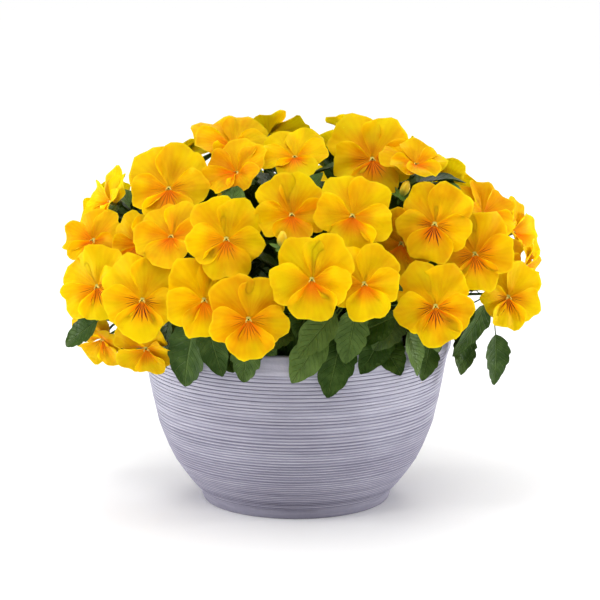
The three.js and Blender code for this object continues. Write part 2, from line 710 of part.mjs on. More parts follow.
// The ways a leaf can reach a tip beside the bowl from the stalks nearest to it. Its face is turned from
// outwards to the viewer by a part.
function rimChoices(tipAt, width, turned) {
  const choices = [];
  for (const clear of RIM_CLEAR) {
    const tip = tipAt(clear);
    const outward = new THREE.Vector3(tip.x, tip.y, 0).normalize();
    const looks = outward.addScaledVector(TOWARDS_VIEWER, turned).addScaledVector(UP, RIM_LOOKS_UP);
    looks.normalize();
    for (const part of RIM_FOOT) {
      const near = blooms.map((bloom) => ({ bloom, foot: onStalk(bloom, part) }));
      near.sort((a, b) => a.foot.distanceTo(tip) - b.foot.distanceTo(tip));
      for (const { bloom, foot } of near.slice(0, 3)) {
        choices.push({ bloom, leaf: makeLeaf(foot, tip, looks, width) });
      }
    }
  }
  return choices;
}

function growRimLeaves() {
  for (const [across, rise, width] of RIM_LEAVES) {
    growLeaf(rimChoices((clear) => besideBowl(across, rise, clear), width, RIM_TURNED), RIM_CUT);
  }
  for (let place = 0; place < BACK_RIM.count; place += 1) {
    const spread = (BACK_RIM.to - BACK_RIM.from) / (BACK_RIM.count - 1);
    const angle = radians(BACK_RIM.from + spread * (place + BACK_RIM.place * (draw(place, 201) - 0.5)));
    const z = BACK_RIM.low + (BACK_RIM.high - BACK_RIM.low) * draw(place, 202);
    const tipAt = (clear) => {
      const radius = outsideRadius(z) + clear;
      return new THREE.Vector3(radius * Math.cos(angle), radius * Math.sin(angle), z);
    };
    growLeaf(rimChoices(tipAt, BACK_RIM.width * leafSize(place, 203), 0), RIM_CUT);
  }
}

const leafSize = (piece, trait) => LEAF_SIZES.least + LEAF_SIZES.more * draw(piece, trait);

// The ways a leaf can stand out of a stalk.
function stalkChoices(bloom) {
  const choices = [];
  const [low, high] = STALK_LEAF_AT;
  const foot = onStalk(bloom, low + (high - low) * draw(bloom.index, 60));
  const length = LEAF_LENGTH * leafSize(bloom.index, 62);
  const width = LEAF_WIDTH * leafSize(bloom.index, 64);
  const heading = Math.atan2(foot.y, foot.x) + radians(LEAF_HEADING * (draw(bloom.index, 66) - 0.5));
  for (const lift of LEAF_LIFTS.map(radians)) {
    for (const turn of LEAF_TURNS) {
      const angle = heading + radians(turn);
      const flat = new THREE.Vector3(Math.cos(angle), Math.sin(angle), 0);
      const tip = foot.clone().addScaledVector(flat, length * Math.cos(lift));
      tip.addScaledVector(UP, length * Math.sin(lift));
      const looks = UP.clone().addScaledVector(flat, 0.5 - Math.sin(lift)).normalize();
      choices.push({ bloom, leaf: makeLeaf(foot, tip, looks, width) });
    }
  }
  return choices;
}

// The largest closed body of a solid, without any scrap or sealed hollow.
function mainBody(solid) {
  return solid.decompose().sort((a, b) => b.volume() - a.volume())[0];
}

const twoDigits = (number) => String(number).padStart(2, '0');

const bowl = makeBowl();
const soil = makeSoil();
addPiece('bowl', bowl, LOOK.bowl);
addPiece('soil', soil, LOOK.soil);
stand(bowl);
stand(soil);

const blooms = allBlooms();
for (const bloom of blooms) {
  settleBloom(bloom);
  bloom.plant = nearestPlant(bloom);
  const solid = mainBody(bloomSolid(bloom, PETAL_HALF));
  stand(solid);
  stand(calyxSolid(bloom), { plant: bloom.plant, kind: 'calyx' });
  stand(neckRoom(bloom), { plant: bloom.plant, kind: 'neck', index: bloom.index });
  const kind = bloom.bud ? 'bud' : 'bloom';
  addPiece(`${kind}_${twoDigits(bloom.index + 1)}`, solid, bloom.bud ? LOOK.pale : LOOK.yellow);
}

const plantParts = CROWNS.map((crown) => [crownPost(crown, CROWN_RADIUS, CROWN_FOOT, CROWN_TOP)]);
plantParts.forEach(([post], plant) => stand(post, { plant, kind: 'crown' }));
for (const bloom of blooms) {
  bloom.joints = growStalk(bloom);
  const stalk = stalkSolid(bloom, bloom.joints, STALK_RADIUS, true);
  stand(stalk, { plant: bloom.plant, kind: 'stalk', index: bloom.index });
  plantParts[bloom.plant].push(stalk);
}

growRimLeaves();
for (const bloom of blooms.filter(({ index }) => draw(index, 68) < STALKS_WITH_LEAF)) {
  growLeaf(stalkChoices(bloom), INNER_CUT);
}

plantParts.forEach((parts, plant) => {
  addPiece(`plant_${plant + 1}`, mainBody(wasm.Manifold.union(parts)), LOOK.green);
});

export default planter;
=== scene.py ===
"""A ribbed bowl planter full of yellow pansies, modelled round its construction frame."""

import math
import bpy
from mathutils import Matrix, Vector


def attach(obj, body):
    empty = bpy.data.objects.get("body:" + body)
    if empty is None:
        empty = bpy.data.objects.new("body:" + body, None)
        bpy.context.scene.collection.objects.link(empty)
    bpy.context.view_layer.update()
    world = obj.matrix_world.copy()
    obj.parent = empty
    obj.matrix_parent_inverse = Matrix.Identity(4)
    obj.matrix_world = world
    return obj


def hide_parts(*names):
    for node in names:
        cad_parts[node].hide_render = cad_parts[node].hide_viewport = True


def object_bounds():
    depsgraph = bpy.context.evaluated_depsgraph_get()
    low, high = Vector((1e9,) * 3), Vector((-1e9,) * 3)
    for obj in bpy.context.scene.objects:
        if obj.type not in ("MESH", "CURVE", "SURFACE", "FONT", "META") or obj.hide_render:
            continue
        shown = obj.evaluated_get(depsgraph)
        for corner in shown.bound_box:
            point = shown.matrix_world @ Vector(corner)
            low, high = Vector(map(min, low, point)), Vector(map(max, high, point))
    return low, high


bl_info = {
    "name": "Potted Pansy Planter",
    "version": (1, 0, 0),
    "blender": (4, 5, 0),
    "location": "View3D > Sidebar > Pansy Planter",
    "description": "Models a ribbed bowl planter full of yellow pansies round its construction frame",
    "category": "Object",
}

from dataclasses import dataclass
from functools import lru_cache

import bpy
import numpy as np
from bpy.props import FloatProperty, FloatVectorProperty, IntProperty, PointerProperty
from mathutils import Euler, Vector, noise
from mathutils.bvhtree import BVHTree
from mathutils.kdtree import KDTree

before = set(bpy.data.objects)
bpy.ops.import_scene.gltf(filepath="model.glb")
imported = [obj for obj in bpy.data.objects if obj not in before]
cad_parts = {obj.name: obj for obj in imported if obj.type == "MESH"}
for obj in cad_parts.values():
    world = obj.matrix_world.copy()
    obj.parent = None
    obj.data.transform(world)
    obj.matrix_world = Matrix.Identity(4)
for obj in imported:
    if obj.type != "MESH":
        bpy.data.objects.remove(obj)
CAD_LOW, CAD_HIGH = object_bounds()

# Lengths are in millimetres, as on the drawing of the planter, until a mesh is made from them in metres
MM = 0.001

# The bowl: its outside at a few heights, which is (height, radius), and its wall
BOWL_HEIGHT = 179
FOOT_RADIUS = 94
RIM_RADIUS = 157
WALL = 6
FLOOR = 8
OUTSIDE = [
    (0, FOOT_RADIUS), (8.4, 96), (20, 106), (32, 115), (44, 123), (56.5, 129), (69, 134), (81, 138.5),
    (93, 141), (105.5, 144), (122, 147.2), (138, 150), (150, 152.6), (158, 155.5), (BOWL_HEIGHT, RIM_RADIUS),
]
RIBS_FROM = 10
RIBS_TO = 159
DRAIN_RADIUS = 6
DRAIN_RING = 52
DRAIN_COUNT = 3
BOWL_STEPS = 160
INNER_HEIGHTS = [157, 105, 60, 26]
INNER_FOOT = 14

# Its foot as (radius, height), the heights of its plain band, its lip as (inset, height), and the heights
# inside it just under the lip
FOOT = [(0, 0), (FOOT_RADIUS - 14, 0), (FOOT_RADIUS - 1.2, 0), (FOOT_RADIUS, 1.2)]
FOOT_TOP = 7.5
BAND = [RIBS_TO + 0.4, 163, 168, 173, 176.4]
LIP = [(0.5, 178.2), (1.8, BOWL_HEIGHT), (4.2, BOWL_HEIGHT), (5.5, 178.2), (6, 176.4)]
INNER_BAND = [170, 163]

# Where the points of one rib lie, as parts of its pitch
RIB_STATIONS = [0, 0.1, 0.28, 0.5, 0.72, 0.9]

# The soil and the places where the plants stand in it
GAP = 0.35
SOIL_TOP = INNER_HEIGHTS[0]
SOIL_CROWN = 5
CROWN_TOP = 175
CROWN_FOOT = 128
CROWN_RING = 84
OUTER_PLANTS = 5
MIDDLE_REACH = 112
CROWN = [(3.6, CROWN_FOOT), (4.4, CROWN_FOOT + 4), (4.5, 160), (4.2, 168), (3.2, 172.5), (1.6, 174.5)]
SOIL_STEPS = 96
SOIL_RINGS = 36
SOIL_RING = 3
CRUMB_REACH = 146
CRUMB_SIDES = 6
CRUMB_LEVELS = [-0.75, 0.05, 0.8]

# The rounded mass of bloom: centre height, half width, half depth and half height
DOME_HEIGHT = 235
DOME_ACROSS = 220
DOME_DEEP = 200
DOME_RISE = 130
SETTLE_STEP = 4
SETTLE_REACH = 68

# The front view that the planting is laid out in looks down by this angle
VIEW_LIFT = math.radians(12)
VIEW_UP = math.cos(VIEW_LIFT)
VIEW_BACK = math.sin(VIEW_LIFT)

# A bloom's petals: bearing clockwise from straight up, half the spread, reach, lean, curl, layer, notch
PETALS = [
    (-32, 54, 0.57, -0.08, -0.06, 0, 0),
    (32, 54, 0.56, -0.05, -0.05, 1, 0),
    (-100, 50, 0.49, 0.12, -0.14, 2, 0),
    (100, 50, 0.49, 0.12, -0.14, 2, 0),
    (180, 60, 0.49, 0.2, -0.24, 3, 0.08),
]
PETAL_SHOULDER = 0.48
PETAL_EDGE = [1, 0.72, 0.35]
LAYER_STEP = 3.4
HUB_RADIUS = 3.4
HUB_BELT = -1.5
HUB_BACK = -7.2
SEPALS = 5
CALYX_TIP = (11.5, -6.4)
CALYX_FRONT = -7.65
CALYX_BACK = -12
BUD_RADIUS = 4.6
BUD_BELT = 2

# The net of a fine petal: its lines from the throat to the rim, and how close the others lie to its edges
PETAL_LINES = [0.03, 0.1, 0.2, 0.32, 0.45, 0.58, 0.7, 0.8, 0.88, 0.94, 0.98, 1]
PETAL_COLUMNS = 21
PETAL_BUNCH = 0.92

# How large the blotch is on each petal of a bloom, and how dark its lines are
PETAL_BLOTCH = [0.12, 0.12, 0.4, 0.4, 0.95]
PETAL_LINED = [0, 0, 0.85, 0.85, 1]

# Round forms of a bloom, as (radius, height) on its own axis
FUNNEL = [(1.2, HUB_BACK), (2.4, -5), (HUB_RADIUS, HUB_BELT), (2.6, 0.4), (1, 1)]
KNOB = [(0.3, 0.9), (0.7, 1.3), (0.7, 1.9), (0.3, 2.3)]
CUP = [(1.3, CALYX_BACK - 1), (2.6, CALYX_BACK + 0.6), (3.5, -9.4), (3.9, -8.2), (2.2, CALYX_FRONT)]
FURLED = [
    (1.4, HUB_BACK), (3.2, -4.5), (4.3, -1), (BUD_RADIUS, BUD_BELT), (3.9, 5.5), (2.4, 8.8), (0.9, 10.4),
]

# The tufts at the throat: how many hairs, and a hair as (outward, height, radius)
TUFT_HAIRS = 16
HAIR = [(0, 0.8, 0.34), (0.2, 2.2, 0.32), (-0.8, 3.3, 0.12)]

# The net of a sepal, along and across, and half its thickness
SEPAL_LINES = [0.16, 0.34, 0.52, 0.7, 0.86, 1]
SEPAL_COLUMNS = [-1, -0.5, 0, 0.5, 1]
SEPAL_ROOT = -8.6
SEPAL_HALF = 0.18

# The stalks: how high they rise, how far they set out, and the ways in which they may bend
STALK_RADIUS = 1.7
STALK_STEPS = 4
STALK_SET = 2.4
STALK_RISE = 46
NECK = 27
STALK_SIDEWAYS = [0, 16, -16, 32, -32, 48, -48, 64, -64, 80, -80]
STALK_HIGHER = [0, 24, -20, 48, -34]

# Blooms of the front, as seen from the front: mm across and up, full width, turn, lift and roll in
# degrees, mm nearer to the viewer, how far the petals close forward, and how dark the throat's lines are
FRONT_BLOOMS = [
    (74, 334, 84, 4, 22, 4, 6, 0, 0.35),
    (132, 268, 78, -4, 12, -6, 8, 0, 1),
    (132, 190, 80, -2, 6, 4, 6, 0, 1),
    (-145, 196, 80, -10, 6, 0, 8, 0, 1),
    (-44, 178, 74, 4, 0, 4, 14, 0, 0.4),
    (15, 215, 80, 0, 4, 0, 12, 0.05, 0),
    (171, 240, 76, 10, 8, 4, 10, 0, 0.5),
    (207, 199, 66, 22, 4, -10, 10, 0, 1),
    (-65, 253, 76, 6, 12, -6, 10, 0, 0.3),
    (-4, 276, 72, 8, 22, 0, 0, 0.12, 0.1),
    (-122, 303, 82, -14, 26, 10, 6, 0, 0.3),
    (-193, 209, 74, -24, 6, 24, 6, 0, 0.5),
    (53, 275, 74, 10, 20, -12, 6, 0, 0),
    (64, 211, 68, 2, 10, 4, 0, 0, 0),
    (-86, 196, 74, 12, 2, -4, 0, 0, 0.1),
    (-197, 254, 60, -30, 24, -8, 0, 0, 0.2),
    (-118, 256, 72, -18, 34, 8, -8, 0.1, 0.1),
    (-192, 158, 64, -34, -38, 34, 0, 0.1, 0.3),
    (-144, 150, 60, -12, -34, 14, -8, 0.1, 0.1),
    (101, 250, 64, -14, -8, 0, -10, 0, 0),
    (-56, 318, 66, -34, 40, -16, 0, 0.3, 0),
    (-182, 293, 62, -64, 24, 0, 0, 0.25, 0),
    (-1, 334, 72, -8, 48, 8, -6, 0.05, 0.1),
    (-63, 347, 78, 10, 56, 0, -4, 0.15, 0.1),
    (217, 264, 68, 66, 14, 6, 0, 0.35, 0),
    (182, 280, 62, 48, 36, 10, -4, 0.35, 0.2),
    (148, 312, 64, 140, 26, 0, -6, 0.1, 0.2),
    (115, 326, 62, 28, 58, 0, -8, 0.1, 0.1),
    (226, 228, 54, 78, -12, 20, -4, 0.3, 0),
    (196, 236, 60, 34, 26, 30, -12, 0.1, 0.1),
    (-150, 250, 58, -24, 8, 0, -14, 0.1, 0.1),
]

# Blooms of the back and the far sides, in rows: height on the dome, how many, and the ends of the row
BACK_ROWS = [(-0.16, 7, 10, 170), (0.28, 6, 22, 158), (0.66, 4, 30, 150), (0.93, 2, 50, 140)]

# Buds that stand among the blooms, as the front blooms are given
FRONT_BUDS = [
    (-13, 252, 10, 14, 64, 0, 0, 0, 0),
    (104, 302, 10, 40, 60, 0, 0, 0, 0),
]

# Leaves that hang over the rim, as seen from the front: mm across and up of the tip, and the width
RIM_LEAVES = [
    (-112, 143, 39), (-107, 113, 43), (-77, 146, 25), (-59, 127, 34), (-50, 118, 31), (1, 160, 34),
    (30, 103, 39), (47, 136, 32), (74, 148, 36), (100, 124, 34), (122, 118, 23), (138, 146, 25),
    (166, 137, 30), (163, 122, 27), (196, 112, 30), (215, 152, 32), (243, 192, 21), (-227, 151, 27),
    (-158, 130, 27), (-150, 168, 27), (-30, 150, 30), (150, 168, 30),
]
BACK_RIM_COUNT = 12
BACK_RIM_FROM = 6
BACK_RIM_TO = 174
BACK_RIM_LOW = 136
BACK_RIM_HIGH = 160
BACK_RIM_WIDTH = 30
RIM_CLEAR = [14, 24, 34]
RIM_FOOT = [0.63, 0.38, 0.87]
SIDE_DEPTH = 48
RIM_TURNED = 1.2

# Leaves up the stalks, and the shape of a leaf
STALK_LEAF_AT = (0.5, 0.78)
STALKS_WITH_LEAF = 0.38
LEAF_LENGTH = 58
LEAF_WIDTH = 30
LEAF_TURNS = [0, 35, -35, 70, -70, 110, -110, 150]
LEAF_LIFTS = [22, 50, -6]
LEAF_BLADE = 1.65
LEAF_ARCH = 0.16
LEAF_FOLD = 0.22
LEAF_FOOT = 0.7
RIM_CUT = [(0.14, 1), (0.28, 0.82), (0.42, 1), (0.56, 0.8), (0.7, 1), (0.84, 0.76)]
INNER_CUT = [(0.2, 1), (0.38, 0.84), (0.6, 1), (0.8, 0.76)]

# Leaves that only this model has, up the stalks and at the rim: how far, in mm, they stay off the blooms
# and the bowl, and how far inside the frame's box their tips lie
LEAF_CLEAR = 3
BOX_CLEAR = 4

# Where their tips lie at the rim, as (reach, height): by turns inside it and out over it, but at every
# seventh place below it
RIM_TIPS = [(112, 168), (130, 181)]
HANGING_TIP = (150, 148)
HANGING_EVERY = 7

# The first number of each kind of leaf, which its draws come from, and half a leaf's thickness
GROWN_NUMBERS = 700
STALK_FILLER_NUMBERS = 1000
RIM_FILLER_NUMBERS = 3000
LEAF_HALF = 0.16

# How near, in mm, a marked point of a solid has to lie for it to be the same point
SAME_POINT = 0.05

# Edges of the finished meshes that turn by more than this, in degrees, stay sharp
SHARP_ABOVE = 70

UP = np.array([0.0, 0.0, 1.0])
TOWARDS_VIEWER = np.array([0.0, -VIEW_UP, VIEW_BACK])

# The stage, in metres: the middle of the view, just right of the bowl's axis at the height of its rim, and
# the soft lights, each with its place, its power and its width
VIEW_MIDDLE = (0.004, 0, 0.2006)
LIT_MIDDLE = (0, 0, 0.2)
SOFT_BOXES = [
    ("key_box", (-0.55, -1.3, 1.9), 8, 0.4),
    ("left_box", (-2.0, 0.1, 0.2), 22, 0.36),
    ("right_box", (2.0, 0.1, 0.2), 22, 0.36),
    ("rear_box", (0.3, 1.7, 1.5), 12, 1.2),
]


def srgb(red, green, blue):
    """A colour given as 0 to 255 on a screen, in the linear values that materials take."""
    def linear(value):
        part = value / 255
        return part / 12.92 if part <= 0.04045 else ((part + 0.055) / 1.055) ** 2.4

    return (linear(red), linear(green), linear(blue))


def colour(name, description, default):
    return FloatVectorProperty(
        name=name, description=description, default=default, size=3, min=0, max=1, subtype="COLOR")


class PANSY_PG_bowl(bpy.types.PropertyGroup):
    rib_pitch: FloatProperty(
        name="Rib pitch", description="Length along the wall from one rib to the next at the rim",
        default=0.004, min=0.002, unit="LENGTH")
    rib_depth: FloatProperty(
        name="Rib depth", description="Depth of the grooves between the ribs",
        default=0.0013, min=0, unit="LENGTH")
    colour: colour("Bowl", "Colour of the ribs", srgb(166, 165, 182))
    # The lower bowl's colour is painted shade that darkens the bowl towards the foot
    low_shade_colour: colour("Lower bowl", "Colour towards the foot", srgb(118, 115, 134))
    # The grooves' colour is painted shade in the hollows between the ribs
    groove_shade_colour: colour("Grooves", "Colour of the grooves", srgb(104, 101, 121))
    soil_colour: colour("Soil", "Colour of the potting soil", srgb(46, 34, 26))
    crumbs: IntProperty(name="Crumbs", description="Crumbs that lie on the soil", default=420, min=0)


class PANSY_PG_blooms(bpy.types.PropertyGroup):
    thickness: FloatProperty(
        name="Petal thickness", description="Thickness of a petal", default=0.0004, min=0.0001, unit="LENGTH")
    ruffle: FloatProperty(
        name="Ruffle", description="How far the rims wave, as a part of the bloom's width",
        default=0.018, min=0)
    petal_colour: colour("Petal", "Main colour of the petals", srgb(248, 192, 0))
    # Deeper yellow of some petals, also used for painted shade towards the throat where the petals lie under
    # each other
    deep_and_shade_colour: colour("Deep petal", "Colour of the deeper parts of the petals", srgb(224, 138, 0))
    pale_colour: colour("Petal rim", "Colour of the thin rims", srgb(255, 212, 20))
    # The underside is paler, and brightened further as painted light that stands in for light shining through
    # the petals
    underside_and_glow_colour: colour("Underside", "Colour of the backs of the petals", srgb(255, 208, 22))
    blotch_colour: colour("Blotch", "Colour round the throat", srgb(250, 106, 0))
    line_colour: colour("Lines", "Colour of the dark lines at the throat", srgb(84, 18, 8))
    throat_colour: colour("Throat", "Colour of the small tufts at the throat", srgb(248, 232, 116))


class PANSY_PG_leaves(bpy.types.PropertyGroup):
    fillers: IntProperty(
        name="Leaves on a stalk", description="How many more leaves a stalk may carry inside the plant",
        default=16, min=0)
    skirt: IntProperty(
        name="Leaves at the rim", description="How many more leaves may lie at the rim all round",
        default=108, min=0)
    colour: colour("Leaf", "Main colour of the leaves", srgb(40, 66, 12))
    light_colour: colour("Light leaf", "Colour of the lighter leaves", srgb(94, 120, 54))
    vein_colour: colour("Veins", "Colour of the midrib and the veins", srgb(106, 132, 64))
    stalk_colour: colour("Stalk", "Colour of the stalks and calyces", srgb(96, 132, 44))


class PANSY_PG_stage(bpy.types.PropertyGroup):
    distance: FloatProperty(
        name="Camera distance", description="From the camera to the middle of the view",
        default=3.0, min=0.5, unit="LENGTH")
    across: FloatProperty(
        name="View width", description="Width of the view at the planter",
        default=0.6, min=0.1, unit="LENGTH")
    lift: FloatProperty(
        name="Camera lift", description="Angle above the horizon", default=VIEW_LIFT, unit="ROTATION")
    floor_colour: colour("Floor", "Colour of the studio floor", (0.97, 0.97, 0.97))


# Numbers that stay the same, and directions

def draw_number(piece, trait):
    """A number from 0 to 1 that is always the same for one piece and one of its traits."""
    mask = 0xFFFFFFFF
    n = (((piece + 1) * 0x9E3779B1) ^ ((trait + 1) * 0x85EBCA6B)) & mask
    n = ((n ^ (n >> 16)) * 0x7FEB352D) & mask
    n = ((n ^ (n >> 15)) * 0x846CA68B) & mask
    return (n ^ (n >> 16)) / 4294967296


def unit(vector):
    return vector / np.linalg.norm(vector)


def flat(angle):
    """The level direction at an angle from the right."""
    return np.array([math.cos(angle), math.sin(angle), 0.0])


def grow(points, directions):
    """Every number of an array along a direction."""
    return np.multiply.outer(points, directions)


def around(count):
    """The angles of a full turn in equal steps."""
    return 2 * math.pi * np.arange(count) / count


def spokes(angles):
    """The level directions at some angles."""
    return np.stack([np.cos(angles), np.sin(angles), 0 * angles], axis=-1)


# The layout of the planting

@dataclass
class Bloom:
    index: int
    size: float
    close: float
    lines: float
    throat: np.ndarray
    push: np.ndarray
    axes: tuple
    bud: bool = False
    plant: int = 0
    bend: tuple = (0, 0)

    def at(self, radius, angle, height):
        """Points given in the bloom's own directions."""
        side, up, face = self.axes
        return self.throat + grow(radius * np.sin(angle), side) + grow(radius * np.cos(angle), up) \
            + grow(height + 0 * radius * angle, face)

    def rings(self, profile, sides, fold=0.0):
        """Rings of points round the bloom's own axis, on three soft folds that wind up it."""
        angles = -around(sides)
        rings = [
            self.at(radius * (1 + fold * np.sin(3 * angles + height * 0.35)), angles, np.full(sides, height))
            for radius, height in profile
        ]
        return np.array(rings)

    def curve_at(self, t):
        """Points of the stalk's curve, from 0 at the soil to 1 at the bloom."""
        foot, shoulder, neck, head = stalk_corners(self)
        rest = 1 - t
        return grow(rest ** 3, foot) + grow(3 * rest ** 2 * t, shoulder) \
            + grow(3 * rest * t ** 2, neck) + grow(t ** 3, head)

    def spaced(self, parts):
        """Points of the stalk's curve at parts of its length."""
        times = np.linspace(0, 1, 201)
        steps = np.linalg.norm(np.diff(self.curve_at(times), axis=0), axis=1)
        lengths = np.concatenate([[0], np.cumsum(steps)])
        return self.curve_at(np.interp(parts * lengths[-1], lengths, times))

    def joints(self):
        return self.spaced(np.linspace(0, 1, STALK_STEPS + 1))

    def on_stalk(self, part):
        """A place on the stalk, whose straight stretches join points of its curve."""
        joint = min(STALK_STEPS - 1, int(part * STALK_STEPS))
        low, high = self.joints()[joint:joint + 2]
        return low + (high - low) * (part * STALK_STEPS - joint)


@dataclass
class Leaf:
    foot: np.ndarray
    crest: np.ndarray
    tip: np.ndarray
    looks: np.ndarray
    width: float
    stalk: float
    bloom: Bloom
    part: float
    index: int = 0


def bloom_axes(turn, lift, roll):
    """The three directions of a bloom: to the viewer's right, up its face, and out of its face."""
    face = np.array([math.sin(turn), -math.cos(turn), 0.0]) * math.cos(lift) + UP * math.sin(lift)
    upright = unit(UP - face * face[2])
    right = np.cross(upright, face)
    up = upright * math.cos(roll) - right * math.sin(roll)
    side = right * math.cos(roll) + upright * math.sin(roll)
    return side, up, face


def depth_on_dome(across, rise):
    """How far back the near side of the dome lies at a point of the front view."""
    slope = VIEW_BACK / VIEW_UP
    drop = rise / VIEW_UP - DOME_HEIGHT
    a = 1 / DOME_DEEP ** 2 + (slope / DOME_RISE) ** 2
    b = -2 * drop * slope / DOME_RISE ** 2
    c = (across / DOME_ACROSS) ** 2 + (drop / DOME_RISE) ** 2 - 1
    return (-b - math.sqrt(max(0, b * b - 4 * a * c))) / (2 * a)


def from_front_view(across, rise, depth):
    return np.array([across, depth, (rise - VIEW_BACK * depth) / VIEW_UP])


def front_bloom(row, index):
    across, rise, size, turn, lift, roll, nearer, close, lines = row
    throat = from_front_view(across, rise, depth_on_dome(across, rise)) + TOWARDS_VIEWER * nearer
    axes = bloom_axes(math.radians(turn), math.radians(lift), math.radians(roll))
    return Bloom(index, size, close, lines, throat, TOWARDS_VIEWER, axes)


def back_bloom(row, place, index):
    """A bloom of the back rows, which faces out of the dome."""
    def vary(trait):
        return draw_number(index, trait) - 0.5

    middle, count, start, end = row
    angle = math.radians(start + (end - start) / (count - 1) * (place + 0.5 * vary(1)))
    level = middle + 0.1 * vary(2)
    reach = math.sqrt(1 - level * level) * 0.97
    throat = np.array([
        DOME_ACROSS * reach * math.cos(angle),
        DOME_DEEP * reach * math.sin(angle),
        DOME_HEIGHT + DOME_RISE * level,
    ])
    turn = angle + math.pi / 2 + math.radians(24 * vary(3))
    lift = math.radians(8 + 46 * max(0, level) + 16 * vary(4))
    axes = bloom_axes(turn, lift, math.radians(30 * vary(5)))
    size = 68 + 12 * draw_number(index, 6)
    lines = max(0, 1.6 * draw_number(index, 9) - 0.6)
    return Bloom(index, size, 0.12 * draw_number(index, 7), lines, throat, axes[2], axes)


def crown_places():
    """Where the plants stand: one in the middle and a ring of others."""
    ring = [flat(2 * math.pi * plant / OUTER_PLANTS) * CROWN_RING for plant in range(OUTER_PLANTS)]
    return [np.zeros(3), *ring]


CROWNS = crown_places()


def nearest_plant(bloom):
    if math.hypot(bloom.throat[0], bloom.throat[1]) < MIDDLE_REACH:
        return 0
    gaps = [math.hypot(*(crown - bloom.throat)[:2]) for crown in CROWNS]
    return gaps.index(min(gaps))


def stalk_corners(bloom):
    """The four corners of the curve of a stalk, from its crown to the back of its bloom."""
    sideways, higher = bloom.bend
    foot = CROWNS[bloom.plant] + UP * (CROWN_TOP - 3 - 6 * draw_number(bloom.index, 8))
    head = bloom.at(0, 0, CALYX_BACK + 2)
    outward = (head - foot) * (1, 1, 0)
    foot = foot + unit(outward) * STALK_SET
    aside = unit(np.array([-outward[1], outward[0], 0]))
    shoulder = foot + outward * 0.2 + aside * sideways + UP * (STALK_RISE + higher)
    neck = head - bloom.axes[2] * NECK + aside * sideways * 0.5 + UP * higher * 0.3
    return foot, shoulder, neck, head


def stalk_rings(bloom, points, radii, sides):
    """Rings of points round a stalk, from its foot to its head."""
    outward = bloom.axes[0]
    rings = []
    for place in reversed(range(len(points))):
        ahead = unit(points[min(place + 1, len(points) - 1)] - points[max(place - 1, 0)])
        outward = unit(outward - ahead * outward.dot(ahead))
        angles = around(sides)
        across = np.cross(ahead, outward)
        reach = grow(np.cos(angles), outward) + grow(np.sin(angles), across)
        rings.append(points[place] + reach * radii[place])
    return np.array(rings[::-1])


def petal_point(bloom, kind, t, along, offset=0.0, fine=0.0):
    """Points of a petal: t from one edge to the other, -1 to 1, and along from the throat to the rim.

    fine is 0 for the plain petal and more for one with a narrow claw, soft folds and a ruffled rim."""
    bearing, spread, reach, lean, curl, layer, notch = PETALS[kind]

    def vary(step):
        return draw_number(bloom.index, 10 + 8 * kind + step) - 0.5

    span = bloom.size * reach * (1 + 0.16 * vary(0))
    nick = 1 - notch * (0.6 + vary(6)) * np.exp(-(t / 0.2) ** 2)
    shape = PETAL_SHOULDER + (1 - PETAL_SHOULDER) * np.sqrt(np.clip(1 - t * t, 0, None))
    phases = [2 * math.pi * draw_number(bloom.index, 100 + 4 * kind + step) for step in range(3)]
    lobes = 0.05 * np.sin(6.5 * t + phases[0]) + 0.018 * np.sin(15 * t + phases[1])
    scallop = 1 + fine * along ** 4 * lobes
    radius = along * span * shape * nick * scallop
    claw = 1 - min(1, fine) * 0.32 * (1 - along) ** 3
    angle = np.radians(bearing + 12 * vary(1) + spread * t * claw)
    lean = lean + 0.08 * vary(2) + bloom.close
    curl = curl + 0.1 * vary(3) - 0.4 * bloom.close
    wave = bloom.size * (0.036 + 0.024 * vary(4)) * along * along * (1 - 0.4 * t * t)
    fold = fine * bloom.size * 0.021 * along * np.sin(6 * t + phases[1] + 2 * along)
    ruffle = fine * bloom.size * settings().blooms.ruffle * along ** 4 * np.sin(10 * t + phases[2])
    dimple = fine * bloom.size * 0.026 * along * np.sin(5 * t + phases[0]) * np.sin(7 * along + phases[2])
    height = lean * radius + curl * radius * radius / span + layer * LAYER_STEP * along \
        + wave * np.sin(4.6 * t + 2 * math.pi * vary(5)) + fold + ruffle + dimple + offset
    return bloom.at(radius, angle, height)


def leaf_half_width(leaf, along):
    """Half the width of a leaf: a thin stalk, and then a blade that is widest below its middle."""
    blade = np.clip((along - leaf.stalk) / (1 - leaf.stalk), 0, 1)
    return LEAF_FOOT + leaf.width / 2 * np.sin(np.pi * blade ** 0.8).clip(0) ** 0.75


def leaf_point(leaf, along, across, left=1.0, offset=0.0):
    """Points of a leaf: along from its foot to its tip, and across from -1 to 1, raised off its face."""
    rest = 1 - along
    centre = grow(rest * rest, leaf.foot) + grow(2 * rest * along, leaf.crest) + grow(along * along, leaf.tip)
    ahead = grow(rest, leaf.crest - leaf.foot) + grow(along, leaf.tip - leaf.crest)
    side = np.cross(ahead, leaf.looks)
    side /= np.linalg.norm(side, axis=-1, keepdims=True)
    normal = np.cross(side, ahead)
    normal /= np.linalg.norm(normal, axis=-1, keepdims=True)
    half = leaf_half_width(leaf, along) * left
    raised = offset + LEAF_FOLD * np.abs(across) * half
    return centre + side * (across * half)[..., None] + normal * raised[..., None]


def make_leaf(foot, tip, looks, width, bloom, part):
    length = np.linalg.norm(tip - foot)
    crest = (foot + tip) / 2 + looks * LEAF_ARCH * length
    return Leaf(foot, crest, tip, looks, width, max(0.08, 1 - LEAF_BLADE * width / length), bloom, part)


def outside_radius(z):
    """Radius of the bowl's outside at a height, without its ribs."""
    heights, radii = zip(*OUTSIDE)
    return np.interp(z, heights, radii)


def beside_bowl(across, rise, clear):
    """Where a leaf's tip hangs beside the bowl, seen at a place of the front view."""
    depth = -RIM_RADIUS
    for _ in range(6):
        z = (rise - VIEW_BACK * depth) / VIEW_UP
        radius = outside_radius(z) + clear
        depth = -math.sqrt(max(SIDE_DEPTH ** 2, radius ** 2 - across ** 2))
    return from_front_view(across, rise, depth)


